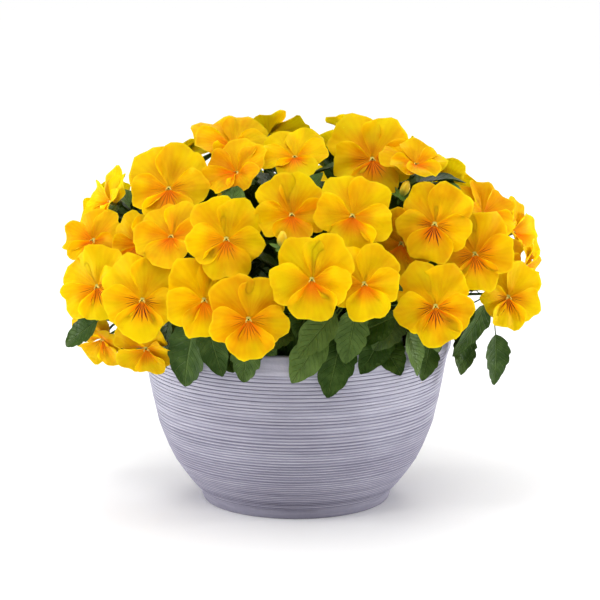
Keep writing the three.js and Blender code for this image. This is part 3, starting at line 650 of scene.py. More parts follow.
def rim_choices(blooms, tip_at, width, turned):
    """The ways a leaf can reach a tip beside the bowl from the stalks nearest to it."""
    choices = []
    for clear in RIM_CLEAR:
        tip = tip_at(clear)
        looks = unit(unit(tip * (1, 1, 0)) + TOWARDS_VIEWER * turned + UP * 0.6)
        for part in RIM_FOOT:
            near = [(bloom, bloom.on_stalk(part)) for bloom in blooms]
            near.sort(key=lambda pair: np.linalg.norm(pair[1] - tip))
            for bloom, foot in near[:3]:
                choices.append(make_leaf(foot, tip, looks, width, bloom, part))
    return choices


def standing_leaves(bloom, part, swing, lifts, length, width):
    """The ways a leaf can stand out of a part of a stalk, swung from the way that leads outward."""
    foot = bloom.on_stalk(part)
    heading = math.atan2(foot[1], foot[0]) + swing
    choices = []
    for lift in lifts:
        rise, level = math.sin(math.radians(lift)), math.cos(math.radians(lift))
        for turn in LEAF_TURNS:
            ahead = flat(heading + math.radians(turn))
            tip = foot + (ahead * level + UP * rise) * length
            choices.append(make_leaf(foot, tip, unit(UP + ahead * (0.5 - rise)), width, bloom, part))
    return choices


def stalk_choices(bloom):
    """The ways the leaf of a stalk's solid can stand out of it."""
    low, high = STALK_LEAF_AT
    part = low + (high - low) * draw_number(bloom.index, 60)
    length = LEAF_LENGTH * (0.8 + 0.4 * draw_number(bloom.index, 62))
    width = LEAF_WIDTH * (0.8 + 0.4 * draw_number(bloom.index, 64))
    swing = math.radians(120 * (draw_number(bloom.index, 66) - 0.5))
    return standing_leaves(bloom, part, swing, LEAF_LIFTS, length, width)


# Reading back from the solids which of the possible places each piece took

@lru_cache(maxsize=None)
def corners_of(node):
    """The corners of a node's solid, as a tree that finds the nearest one."""
    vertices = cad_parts[node].data.vertices
    tree = KDTree(len(vertices))
    for vertex in vertices:
        tree.insert(vertex.co / MM, vertex.index)
    tree.balance()
    return tree


def corners_met(node, points):
    tree = corners_of(node)
    return sum(tree.find(point)[2] < SAME_POINT for point in points)


def settle(bloom):
    """Moves a bloom to where its solid stands."""
    start = bloom.throat
    steps = [0]
    for step in range(SETTLE_STEP, SETTLE_REACH + 1, SETTLE_STEP):
        steps += [-step, step]
    edge = np.array([*PETAL_EDGE, 0, *(-t for t in PETAL_EDGE)])

    def marks():
        if bloom.bud:
            return bloom.rings([(BUD_RADIUS, BUD_BELT)], 6)[0]
        return np.concatenate([petal_point(bloom, kind, edge, np.ones(len(edge))) for kind in range(5)])

    def met(step):
        bloom.throat = start + bloom.push * step
        return corners_met(node_name(bloom), marks())

    bloom.throat = start + bloom.push * max(steps, key=met)


def bend_stalk(bloom):
    """Bends a stalk the way its solid goes."""
    def met(bend):
        bloom.bend = bend
        joints = bloom.joints()
        rings = stalk_rings(bloom, joints, [STALK_RADIUS] * len(joints), 3)
        return corners_met(f"plant_{bloom.plant + 1}", rings[1:-1].reshape(-1, 3))

    bends = [(sideways, higher) for higher in STALK_HIGHER for sideways in STALK_SIDEWAYS]
    bloom.bend = max(bends, key=met)


def grown_leaf(choices, cut):
    """The one of some possible leaves that the solid of its plant has, or none."""
    across = np.array([-1.0, 1.0])

    def met(leaf):
        marks = [leaf.tip]
        for part, left in cut:
            along = np.full(2, leaf.stalk + (1 - leaf.stalk) * part)
            marks.extend(leaf_point(leaf, along, across, left))
        return corners_met(f"plant_{leaf.bloom.plant + 1}", marks)

    scores = [met(leaf) for leaf in choices]
    best = max(scores)
    return choices[scores.index(best)] if best > len(cut) else None


def node_name(bloom):
    return f"{'bud' if bloom.bud else 'bloom'}_{bloom.index + 1:02d}"


@lru_cache(maxsize=None)
def planting():
    """All the blooms and buds, and the leaves of the plants' solids."""
    blooms = [front_bloom(row, index) for index, row in enumerate(FRONT_BLOOMS)]
    for row in BACK_ROWS:
        blooms += [back_bloom(row, place, len(blooms) + place) for place in range(row[1])]
    for row in FRONT_BUDS:
        blooms.append(front_bloom(row, len(blooms)))
        blooms[-1].bud = True
    for bloom in blooms:
        settle(bloom)
        bloom.plant = nearest_plant(bloom)
        bend_stalk(bloom)
    rim = []
    for across, rise, width in RIM_LEAVES:
        choices = rim_choices(blooms, lambda clear: beside_bowl(across, rise, clear), width, RIM_TURNED)
        rim.append(grown_leaf(choices, RIM_CUT))
    for place in range(BACK_RIM_COUNT):
        spread = (BACK_RIM_TO - BACK_RIM_FROM) / (BACK_RIM_COUNT - 1)
        angle = math.radians(BACK_RIM_FROM + spread * (place + 0.5 * (draw_number(place, 201) - 0.5)))
        z = BACK_RIM_LOW + (BACK_RIM_HIGH - BACK_RIM_LOW) * draw_number(place, 202)
        width = BACK_RIM_WIDTH * (0.8 + 0.4 * draw_number(place, 203))
        choices = rim_choices(
            blooms, lambda clear: flat(angle) * (outside_radius(z) + clear) + UP * z, width, 0)
        rim.append(grown_leaf(choices, RIM_CUT))
    inner = [
        grown_leaf(stalk_choices(bloom), INNER_CUT)
        for bloom in blooms if draw_number(bloom.index, 68) < STALKS_WITH_LEAF
    ]
    return blooms, [leaf for leaf in rim if leaf], [leaf for leaf in inner if leaf]


# Meshes from points and faces

def quads(index):
    """The faces of a grid, from the numbers of its corners."""
    corners = (index[:-1, :-1], index[:-1, 1:], index[1:, 1:], index[1:, :-1])
    return np.stack(corners, axis=-1).reshape(-1, 4)


class Patchwork:
    """Points and faces that are gathered into one mesh, with a map, a tone and a finish for each."""

    def __init__(self):
        self.points = []
        self.faces = []
        self.maps = []
        self.tones = []
        self.finishes = []
        self.count = 0

    def add(self, points, faces, places=None, tone=(0, 0, 0, 0), finish=0):
        number = len(points)
        self.points.append(points)
        self.faces += [[corner + self.count for corner in face] for face in faces]
        self.maps.append(np.zeros((number, 2)) if places is None else places)
        self.tones.append(np.broadcast_to(tone, (number, 4)))
        self.finishes += [finish] * len(faces)
        self.count += number

    def add_blade(self, shape, half, across, along, tone, finish=0):
        """A thin blade: two grids of points that share their rim, half a thickness to each side.

        shape gives the grid at an offset. The last of the blade's four tones marks its back."""
        front, back = shape(half), shape(-half)
        places = np.stack([(across + 1) / 2, along], axis=-1)
        rows, columns = across.shape
        front_index = np.arange(rows * columns).reshape(rows, columns)
        back_index = front_index.copy()
        inner = np.arange((rows - 2) * (columns - 2)).reshape(rows - 2, columns - 2)
        back_index[1:-1, 1:-1] = rows * columns + inner
        points = np.concatenate([front.reshape(-1, 3), back[1:-1, 1:-1].reshape(-1, 3)])
        maps = np.concatenate([places.reshape(-1, 2), places[1:-1, 1:-1].reshape(-1, 2)])
        faces = [*quads(front_index).tolist(), *quads(back_index)[:, ::-1].tolist()]
        tones = np.tile([*tone, 0.0], (len(points), 1))
        tones[rows * columns:, 3] = 1
        self.add(points, faces, maps, tones, finish)

    def add_rings(self, rings, tone=(0, 0, 0, 0), finish=0):
        """A closed round form from rings of points, each end closed in its middle."""
        count, sides, _ = rings.shape
        last = (count - 1) * sides
        points = np.concatenate([rings.reshape(-1, 3), [rings[0].mean(axis=0)], [rings[-1].mean(axis=0)]])
        start, end = count * sides, count * sides + 1
        faces = []
        for side in range(sides):
            following = (side + 1) % sides
            faces.append([start, following, side])
            faces.append([end, last + side, last + following])
            for ring in range(count - 1):
                low, high = ring * sides, (ring + 1) * sides
                faces.append([low + side, low + following, high + following, high + side])
        turn = np.tile(np.arange(sides) / sides, count)
        along = np.repeat(np.arange(count) / (count - 1), sides)
        places = np.concatenate([np.stack([turn, along], axis=-1), [[0.5, 0], [0.5, 1]]])
        self.add(points, faces, places, tone, finish)

    def make(self, name, materials):
        """Makes the mesh, moved as a whole where its fine forms would reach out of the frame's box."""
        points = np.concatenate(self.points) * MM
        points -= np.maximum(points.max(axis=0) - CAD_HIGH, 0) + np.minimum(points.min(axis=0) - CAD_LOW, 0)
        mesh = bpy.data.meshes.new(name)
        mesh.from_pydata(points.tolist(), [], self.faces)
        corners = np.empty(len(mesh.loops), dtype=np.int32)
        mesh.loops.foreach_get("vertex_index", corners)
        layer = mesh.uv_layers.new(name="UVMap")
        layer.data.foreach_set("uv", np.concatenate(self.maps)[corners].ravel())
        tone = mesh.attributes.new("tone", "FLOAT_COLOR", "POINT")
        tone.data.foreach_set("color", np.concatenate(self.tones).ravel())
        for material in materials:
            mesh.materials.append(material)
        mesh.polygons.foreach_set("material_index", self.finishes)
        mesh.polygons.foreach_set("use_smooth", [True] * len(mesh.polygons))
        mesh.set_sharp_from_angle(angle=math.radians(SHARP_ABOVE))
        mesh.validate()
        piece = bpy.data.objects.new(name, mesh)
        bpy.context.scene.collection.objects.link(piece)
        return piece


def place_piece(piece, slot, *nodes):
    """Joins a finished piece to the frame: it rides on the root and stands for its nodes."""
    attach(piece, "root")
    if nodes:
        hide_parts(*nodes)


def select_only(piece):
    bpy.ops.object.select_all(action="DESELECT")
    piece.select_set(True)
    bpy.context.view_layer.objects.active = piece


def spin_profile(name, profile, steps):
    """A round form spun from a profile of (radius, height) whose ends lie on the axis."""
    mesh = bpy.data.meshes.new(name)
    points = [(radius * MM, 0, z * MM) for radius, z in profile]
    mesh.from_pydata(points, [(at, at + 1) for at in range(len(points) - 1)], [])
    piece = bpy.data.objects.new(name, mesh)
    bpy.context.scene.collection.objects.link(piece)
    select_only(piece)
    bpy.ops.object.mode_set(mode="EDIT")
    bpy.ops.mesh.select_all(action="SELECT")
    bpy.ops.mesh.spin(steps=steps, angle=2 * math.pi, center=(0, 0, 0), axis=(0, 0, 1))
    bpy.ops.mesh.select_all(action="SELECT")
    bpy.ops.mesh.remove_doubles(threshold=0.01 * MM)
    bpy.ops.mesh.normals_make_consistent(inside=False)
    bpy.ops.object.mode_set(mode="OBJECT")
    return piece


# Finishes

class Wire:
    """One number of a material, so that what is done to it reads as plain sums."""

    def __init__(self, tree, socket):
        self.tree = tree
        self.socket = socket

    def _join(self, operation, *others):
        node = self.tree.nodes.new("ShaderNodeMath")
        node.operation = operation
        for place, value in enumerate((self, *others)):
            if isinstance(value, Wire):
                self.tree.links.new(value.socket, node.inputs[place])
            else:
                node.inputs[place].default_value = value
        return Wire(self.tree, node.outputs[0])

    def __add__(self, other):
        return self._join("ADD", other)

    def __sub__(self, other):
        return self._join("SUBTRACT", other)

    def __mul__(self, other):
        return self._join("MULTIPLY", other)

    def __rsub__(self, other):
        return self * -1 + other

    __radd__ = __add__
    __rmul__ = __mul__

    def sine(self):
        return self._join("SINE")

    def at_most(self, value):
        return self._join("MINIMUM", value)

    def whole(self):
        return self._join("FLOOR")

    def size(self):
        return self._join("ABSOLUTE")

    def less(self, low, high):
        """1 where the number is under low, 0 where it is over high, and soft between them."""
        node = self.tree.nodes.new("ShaderNodeMapRange")
        node.interpolation_type = "SMOOTHSTEP"
        self.tree.links.new(self.socket, node.inputs["Value"])
        node.inputs["From Min"].default_value = low
        node.inputs["From Max"].default_value = high
        node.inputs["To Min"].default_value = 1
        node.inputs["To Max"].default_value = 0
        return Wire(self.tree, node.outputs["Result"])


class Finish:
    """A material and the few kinds of node that the finishes here are made of."""

    def __init__(self, name, roughness, **sockets):
        self.material = bpy.data.materials.new(name)
        self.material.use_nodes = True
        self.tree = self.material.node_tree
        self.shader = self.tree.nodes["Principled BSDF"]
        self.shader.inputs["Roughness"].default_value = roughness
        for socket, value in sockets.items():
            self.shader.inputs[socket.replace("_", " ")].default_value = value

    def _node(self, kind, **inputs):
        node = self.tree.nodes.new(kind)
        for socket, value in inputs.items():
            target = node.inputs[socket.replace("_", " ")]
            if isinstance(value, Wire):
                self.tree.links.new(value.socket, target)
            elif isinstance(value, bpy.types.NodeSocket):
                self.tree.links.new(value, target)
            else:
                target.default_value = value
        return node

    def noise(self, scale, detail=2.0, stretch=(1, 1, 1)):
        """Noise in the object's own coordinates, in metres, from about 0.3 to 0.7."""
        place = self._node("ShaderNodeTexCoord").outputs["Object"]
        mapped = self._node("ShaderNodeMapping", Vector=place, Scale=stretch).outputs[0]
        node = self._node("ShaderNodeTexNoise", Vector=mapped, Scale=scale, Detail=detail)
        return Wire(self.tree, node.outputs["Fac"])

    def number(self, name):
        """A number that the mesh holds for each point."""
        node = self._node("ShaderNodeAttribute")
        node.attribute_name = name
        return Wire(self.tree, node.outputs["Fac"])

    def tones(self):
        """The four numbers that a piece's tone holds."""
        node = self._node("ShaderNodeAttribute")
        node.attribute_name = "tone"
        split = self._node("ShaderNodeSeparateColor", Color=node.outputs["Color"])
        return [Wire(self.tree, output) for output in (*split.outputs, node.outputs["Alpha"])]

    def places(self):
        """The two numbers of the piece's own map."""
        node = self._node("ShaderNodeUVMap")
        node.uv_map = "UVMap"
        split = self._node("ShaderNodeSeparateXYZ", Vector=node.outputs["UV"])
        return [Wire(self.tree, output) for output in split.outputs[:2]]

    def mix(self, first, second, part):
        """A colour between two colours."""
        node = self.tree.nodes.new("ShaderNodeMix")
        node.data_type = "RGBA"
        self.tree.links.new(part.socket, node.inputs[0])
        for socket, value in ((node.inputs[6], first), (node.inputs[7], second)):
            if isinstance(value, bpy.types.NodeSocket):
                self.tree.links.new(value, socket)
            else:
                socket.default_value = (*value, 1)
        return node.outputs[2]

    def paint(self, colour_socket):
        self.tree.links.new(colour_socket, self.shader.inputs["Base Color"])
        return self

    def emboss(self, height, distance):
        """Relief too fine for the mesh, in metres."""
        node = self._node("ShaderNodeBump", Height=height, Distance=distance)
        self.tree.links.new(node.outputs["Normal"], self.shader.inputs["Normal"])
        return self


def settings():
    return bpy.context.scene.pansy_planter


@lru_cache(maxsize=None)
def bowl_finish():
    """Matt unglazed clay, mottled, with painted shade in the grooves and towards the foot, and painted
    highlights on the rib crests.
    """
    look = settings().bowl
    finish = Finish("mottled_clay", roughness=0.82)
    groove = finish.number("groove")
    low = finish.number("low")
    grain = finish.noise(300, 4, (1, 1, 0.35)).less(0.4, 0.62)
    patches = finish.noise(11, 3, (1, 1, 2.5)).less(0.36, 0.62)
    streaks = finish.noise(26, 3, (1, 1, 14)).less(0.36, 0.64)
    # Painted shade: the bowl grows darker towards the foot
    base = finish.mix(look.colour, look.low_shade_colour, low)
    # Painted shade in the grooves, patchy, and weaker towards the foot
    base = finish.mix(base, look.groove_shade_colour, groove * (0.4 + patches * 0.6) * (1 - low * 0.5))
    # Painted highlights on the rib crests, streaky and stronger towards the foot
    crest = groove.less(0.02, 0.3)
    base = finish.mix(base, srgb(232, 230, 240), crest * (grain * 0.08 + streaks * 0.24 + low * 0.3))
    base = finish.mix(base, srgb(112, 108, 130), patches * 0.16 + grain * 0.06)
    relief = finish.noise(900, 3) + finish.noise(260, 2) * 2
    return finish.paint(base).emboss(relief, 0.00025).material


@lru_cache(maxsize=None)
def soil_finish():
    look = settings().bowl
    finish = Finish("potting_soil", roughness=0.95)
    grains = finish.noise(420, 4)
    base = finish.mix(look.soil_colour, srgb(92, 70, 50), 1 - grains.less(0.42, 0.6))
    return finish.paint(base).emboss(grains, 0.0015).material


@lru_cache(maxsize=None)
def petal_finish():
    """Soft yellow with an orange blotch and short dark strokes round the throat, painted shade towards the
    throat where the petals lie under each other, and a paler underside that is also brightened as painted
    light shining through.

    The tone holds how dark the strokes are, how deep the yellow is and how large the blotch is."""
    look = settings().blooms
    finish = Finish(
        "pansy_petal", roughness=0.6, Subsurface_Weight=0.6, Subsurface_Scale=0.004,
        Subsurface_Radius=(1, 0.7, 0.1), Specular_IOR_Level=0.05)
    lines, deep, blotch, under = finish.tones()
    across, along = finish.places()
    cloud = finish.noise(45, 2)
    fan = (across * 70 + cloud * 5 + along * 2).sine() * 0.5 + 0.5
    # Deeper yellow at random, and painted shade towards the throat where the petals lie under each other
    depth = deep * 0.8 + fan * 0.1 + (cloud - 0.5) * 1.6 + along.less(0.1, 0.8) * 0.35
    base = finish.mix(look.petal_colour, look.deep_and_shade_colour, depth)
    base = finish.mix(base, look.pale_colour, 0.35 - along.less(0.93, 1.0) * 0.35)
    base = finish.mix(base, look.blotch_colour, along.less(0.1, 0.74) * blotch)
    veins = (across * 100 + cloud * 4).sine() * 0.5 + 0.5
    # Paler underside, also brightened as painted light shining through the petals
    base = finish.mix(base, look.underside_and_glow_colour, under * (0.7 + veins * 0.3))
    stripe = across * 8 + (cloud - 0.5) * 0.5
    middle = ((stripe - stripe.whole()) - 0.5).size()
    reach = (stripe.whole() * 2.4 + deep * 9).sine() * 0.08 + 0.36 + blotch * 0.16
    width = (reach - along).at_most(0.27)
    mark = (middle - width).less(-0.06, 0.05) * lines * (1 - along.less(0.07, 0.12)) * (1 - under)
    near_middle = ((across - 0.5).size()).less(0.33, 0.42)
    base = finish.mix(base, look.line_colour, mark * near_middle)
    return finish.paint(base).emboss(fan * 0.08 + cloud, 0.0012).material


@lru_cache(maxsize=None)
def throat_finish():
    look = settings().blooms
    finish = Finish("throat_tuft", roughness=0.7, Specular_IOR_Level=0.1)
    green = finish.tones()[0]
    return finish.paint(finish.mix(look.throat_colour, srgb(66, 72, 16), green)).material


@lru_cache(maxsize=None)
def leaf_finish():
    """Satin green with a light midrib and side veins. The tone holds how light and how grey a leaf is."""
    look = settings().leaves
    finish = Finish("pansy_leaf", roughness=0.45, Specular_IOR_Level=0.12)
    light, grey, _, under = finish.tones()
    across, along = finish.places()
    side = (across - 0.5).size() * 2
    cloud = finish.noise(90, 3)
    midrib = side.less(0.015, 0.07)
    slant = along * 9 - side * 2.1 + (cloud - 0.5) * 0.5
    vein = ((slant - slant.whole()) - 0.5).size().less(0.02, 0.13) * side.less(0.75, 1.0)
    base = finish.mix(look.colour, look.light_colour, light * 0.85 + (cloud - 0.5) * 1.2 + under * 0.4)
    base = finish.mix(base, srgb(112, 132, 84), grey + under * 0.12)
    base = finish.mix(base, look.vein_colour, midrib * 0.35 + vein * 0.12)
    relief = cloud * 1.2 - vein * 0.4 - midrib * 0.7
    return finish.paint(base).emboss(relief, 0.0014).material


@lru_cache(maxsize=None)
def stalk_finish():
    look = settings().leaves
    finish = Finish("pansy_stalk", roughness=0.5)
    cloud = finish.noise(120, 2)
    base = finish.mix(look.stalk_colour, look.colour, cloud.less(0.35, 0.65) * 0.6)
    return finish.paint(base).emboss(cloud, 0.0004).material


@lru_cache(maxsize=None)
def bud_finish():
    look = settings().blooms
    finish = Finish("bud_tip", roughness=0.5)
    turn, along = finish.places()
    twist = (turn * (6 * math.pi) + along * 4).sine() * 0.5 + 0.5
    base = finish.mix(look.pale_colour, srgb(190, 200, 90), along.less(0.1, 0.7) * 0.8 + twist * 0.15)
    return finish.paint(base).emboss(twist, 0.0005).material


# Pieces

def rib_profile():
    """Points of the bowl's outside with its ribs, from the foot up, as (radius, height).

    Towards the rim the ribs are broad with thin grooves between them, and at the foot thin and close."""
    look = settings().bowl
    depth = look.rib_depth / MM
    heights = np.linspace(RIBS_FROM, RIBS_TO, 2000)
    radii = outside_radius(heights)
    lengths = np.concatenate([[0], np.cumsum(np.hypot(np.diff(heights), np.diff(radii)))])
    points = []
    start, rib = 0, 0
    while start < lengths[-1]:
        rise = start / lengths[-1]
        pitch = look.rib_pitch / MM * (0.72 + 0.28 * rise) * (0.82 + 0.36 * draw_number(rib, 301))
        breadth = 2.2 - 1.95 * min(1, rise * 1.25)
        for part in RIB_STATIONS:
            z = np.interp(start + part * pitch, lengths, heights)
            groove = depth * (0.45 + 0.75 * draw_number(rib + (part > 0.5), 300))
            groove *= 1 - 0.25 * math.sin(math.pi * rise)
            hollow = groove * (1 - math.sin(math.pi * part) ** breadth)
            points.append((outside_radius(z) - hollow, z))
        start += pitch
        rib += 1
    return points


class PANSY_OT_bowl(bpy.types.Operator):
    """Spin the ribbed bowl and drill its drain holes"""
    bl_idname = "pansy.bowl"
    bl_label = "Bowl"

    def execute(self, context):
        foot = [*FOOT, (outside_radius(FOOT_TOP) + 0.3, FOOT_TOP)]
        band = [(outside_radius(z), z) for z in BAND]
        lip = [(RIM_RADIUS - inset, z) for inset, z in LIP]
        inner = [(outside_radius(z) - WALL, z) for z in (*INNER_BAND, *INNER_HEIGHTS)]
        inner += [(outside_radius(INNER_FOOT) - WALL, FLOOR), (0, FLOOR)]
        piece = spin_profile("bowl_shell", [*foot, *rib_profile(), *band, *lip, *inner], BOWL_STEPS)
        self.drill(piece)
        self.mark_grooves(piece.data)
        piece.data.materials.append(bowl_finish())
        select_only(piece)
        bpy.ops.object.shade_smooth_by_angle(angle=math.radians(50))
        place_piece(piece, "planter", "bowl")
        return {"FINISHED"}

    def drill(self, piece):
        """Cuts the drain holes through the bowl's floor."""
        for drain in range(DRAIN_COUNT):
            place = flat(2 * math.pi * (drain + 0.5) / DRAIN_COUNT) * DRAIN_RING * MM
            bpy.ops.mesh.primitive_cylinder_add(
                vertices=32, radius=DRAIN_RADIUS * MM, depth=4 * FLOOR * MM, location=place)
            drill = bpy.context.active_object
            select_only(piece)
            cut = piece.modifiers.new("drain", "BOOLEAN")
            cut.operation = "DIFFERENCE"
            cut.solver = "EXACT"
            cut.object = drill
            bpy.ops.object.modifier_apply(modifier=cut.name)
            bpy.data.objects.remove(drill)

    def mark_grooves(self, mesh):
        """Keeps for each point how deep in a groove and how low on the bowl it lies, both from 0 to 1."""
        depth = settings().bowl.rib_depth / MM
        points = np.empty(len(mesh.vertices) * 3)
        mesh.vertices.foreach_get("co", points)
        points = points.reshape(-1, 3) / MM
        inward = outside_radius(points[:, 2]) - np.hypot(points[:, 0], points[:, 1])
        ribbed = (points[:, 2] > RIBS_FROM) & (points[:, 2] < RIBS_TO) & (inward < WALL / 2)
        # The plain foot band gets a little of the groove value, and so some painted groove shade and some
        # painted crest highlight
        foot = np.where(points[:, 2] < RIBS_FROM, 0.2, 0)
        mesh.attributes.new("groove", "FLOAT", "POINT").data.foreach_set(
            "value", np.where(ribbed, np.clip(1.25 * inward / depth, 0, 1), foot))
        mesh.attributes.new("low", "FLOAT", "POINT").data.foreach_set(
            "value", np.clip(1.1 - points[:, 2] / 110, 0, 1))


class PANSY_OT_soil(bpy.types.Operator):
    """Fill the bowl with crumbly soil"""
    bl_idname = "pansy.soil"
    bl_label = "Soil"

    def execute(self, context):
        wall = [(outside_radius(z) - WALL - 2 * GAP, z) for z in reversed(INNER_HEIGHTS)]
        foot = (outside_radius(INNER_FOOT) - WALL - 3 * GAP, FLOOR + GAP)
        edge = wall[-1][0]
        radii = np.linspace(edge - SOIL_RING, SOIL_RING, SOIL_RINGS)
        top = [(radius, self.top_height(radius)) for radius in radii]
        profile = [(0, FLOOR + GAP), foot, *wall, *top, (0, self.top_height(0))]
        piece = spin_profile("soil_fill", profile, SOIL_STEPS)
        for vertex in piece.data.vertices:
            if vertex.co.z > (SOIL_TOP - 1) * MM:
                rough = noise.noise(vertex.co * 90) * 1.6 + noise.noise(vertex.co * 260) * 0.9
                vertex.co.z += (rough - 0.6) * MM
        piece.data.materials.append(soil_finish())
        self.scatter(piece)
        place_piece(piece, "soil", "soil")
        return {"FINISHED"}

    def top_height(self, radius):
        """Height of the soil, a little higher in the middle."""
        part = 1 - (radius / (outside_radius(SOIL_TOP) - WALL)) ** 2
        return SOIL_TOP + (SOIL_CROWN - 0.6) * part

    def scatter(self, piece):
        """Lays crumbs on the soil and joins them to it."""
        crumbs = Patchwork()
        for crumb in range(settings().bowl.crumbs):
            angle = 2 * math.pi * draw_number(crumb, 401)
            radius = CRUMB_REACH * math.sqrt(draw_number(crumb, 402))
            size = 1.2 + 2.4 * draw_number(crumb, 403) ** 2
            centre = flat(angle) * radius + UP * (self.top_height(radius) + 0.3 * size)
            turn = around(CRUMB_SIDES) + 2 * math.pi * draw_number(crumb, 404) / CRUMB_SIDES
            uneven = 0.8 + 0.4 * np.array([draw_number(crumb, 405 + side) for side in range(CRUMB_SIDES)])
            rings = []
            for level in CRUMB_LEVELS:
                reach = size * math.sqrt(1 - level ** 2) * uneven
                rings.append(centre + spokes(turn) * reach[:, None] + UP * size * level * 0.8)
            crumbs.add_rings(np.array(rings))
        pile = crumbs.make("soil_crumbs", [soil_finish()])
        select_only(piece)
        pile.select_set(True)
        bpy.ops.object.join()


class PANSY_OT_blooms(bpy.types.Operator):
    """Grow the blooms, each with its five petals, its throat and its tufts"""
    bl_idname = "pansy.blooms"
    bl_label = "Blooms"

    def execute(self, context):
        blooms, _, _ = planting()
        for bloom in blooms:
            if not bloom.bud:
                self.grow_bloom(bloom)
        return {"FINISHED"}

    def grow_bloom(self, bloom):
        work = Patchwork()
        half = settings().blooms.thickness / MM / 2
        deep = draw_number(bloom.index, 130) ** 1.4
        ends = math.pi / 2 * PETAL_BUNCH
        columns = np.sin(np.linspace(-ends, ends, PETAL_COLUMNS)) / math.sin(ends)
        along, t = np.meshgrid(PETAL_LINES, columns, indexing="ij")
        for kind, blotch in enumerate(PETAL_BLOTCH):
            lines = min(1, 1.4 * bloom.lines) * PETAL_LINED[kind]
            tone = (lines, min(1, deep * 0.7 + 0.3 * draw_number(bloom.index, 131 + kind)), blotch)
            work.add_blade(
                lambda offset: petal_point(bloom, kind, t, along, offset, fine=1.0), half, t, along, tone)
        self.add_throat(work, bloom)
        piece = work.make(f"bloom_{bloom.index + 1:02d}_petals", [petal_finish(), throat_finish()])
        place_piece(piece, "petal", node_name(bloom))

    def add_throat(self, work, bloom):
        """The pale funnel, the green knob in it and a tuft of hairs on each side."""
        side_way, up_way, _ = bloom.axes
        thirds = -around(3)
        section = grow(np.sin(thirds), side_way) + grow(np.cos(thirds), up_way)
        work.add_rings(bloom.rings(FUNNEL, 10), (0.45, 0, 0, 0), 1)
        work.add_rings(bloom.rings(KNOB, 10), (1, 0, 0, 0), 1)
        for hair in range(TUFT_HAIRS):
            side = 1 if hair % 2 else -1
            place = (hair // 2 + draw_number(bloom.index, 500 + hair)) / (TUFT_HAIRS / 2)
            angle = side * math.radians(78 + 52 * place)
            start = 1.4 + 2 * place
            rings = [
                bloom.at(start + outward, angle, height) + radius * section
                for outward, height, radius in HAIR
            ]
            work.add_rings(np.array(rings), finish=1)


class PANSY_OT_buds(bpy.types.Operator):
    """Grow the furled buds"""
    bl_idname = "pansy.buds"
    bl_label = "Buds"

    def execute(self, context):
        blooms, _, _ = planting()
        for bloom in blooms:
            if bloom.bud:
                self.grow_bud(bloom)
        return {"FINISHED"}

    def grow_bud(self, bloom):
        """A furled tip of petals, three folds wound round each other."""
        work = Patchwork()
        work.add_rings(bloom.rings(FURLED, 24, fold=0.09))
        piece = work.make(f"bud_{bloom.index + 1}_tip", [bud_finish()])
        place_piece(piece, "bud", node_name(bloom))


def add_leaf(work, leaf, teeth, columns):
    """A toothed leaf with a gutter along its midrib and a gently waved edge, of the second finish."""
    steps = 4 * teeth
    blade = np.concatenate([[-1, -0.5], np.linspace(0, 1, steps + 1)])
    along = np.where(blade < 0, leaf.stalk * (1 + blade), leaf.stalk + (1 - leaf.stalk) * blade)
    along, across = np.meshgrid(along, np.linspace(-1, 1, columns), indexing="ij")
    blade = np.repeat(blade.clip(0)[:, None], columns, axis=1)
    place = teeth * blade * (1 - 1e-6)
    depths = [[draw_number(leaf.index, 600 + 2 * step + side) for step in range(teeth)] for side in (0, 1)]
    depth = 0.13 + 0.15 * np.array(depths)[(across > 0).astype(int), place.astype(int)]
    point = 1 - depth * (1 - place % 1) ** 1.5 * np.sin(math.pi * blade.clip(0.04, 0.97)) ** 0.4
    left = 1 + (np.where(blade > 0, point, 1) - 1) * np.abs(across) ** 2
    phase = 2 * math.pi * draw_number(leaf.index, 150)
    wave = leaf.width * 0.06 * np.sin(7 * blade + phase + 2 * across) * across ** 2
    gutter = LEAF_FOLD * leaf_half_width(leaf, along) * (across ** 2 - np.abs(across)) * 0.6
    relief = (blade * (1 - blade)) ** 0.3 * wave + gutter
    light = draw_number(leaf.index, 151) ** 1.5
    grey = max(0, draw_number(leaf.index, 152) * 5 - 4) if leaf.index < STALK_FILLER_NUMBERS else 0
    work.add_blade(
        lambda offset: leaf_point(leaf, along, across, left, relief + offset),
        LEAF_HALF, across, blade, (light, 0.5 * grey, 0), 1)


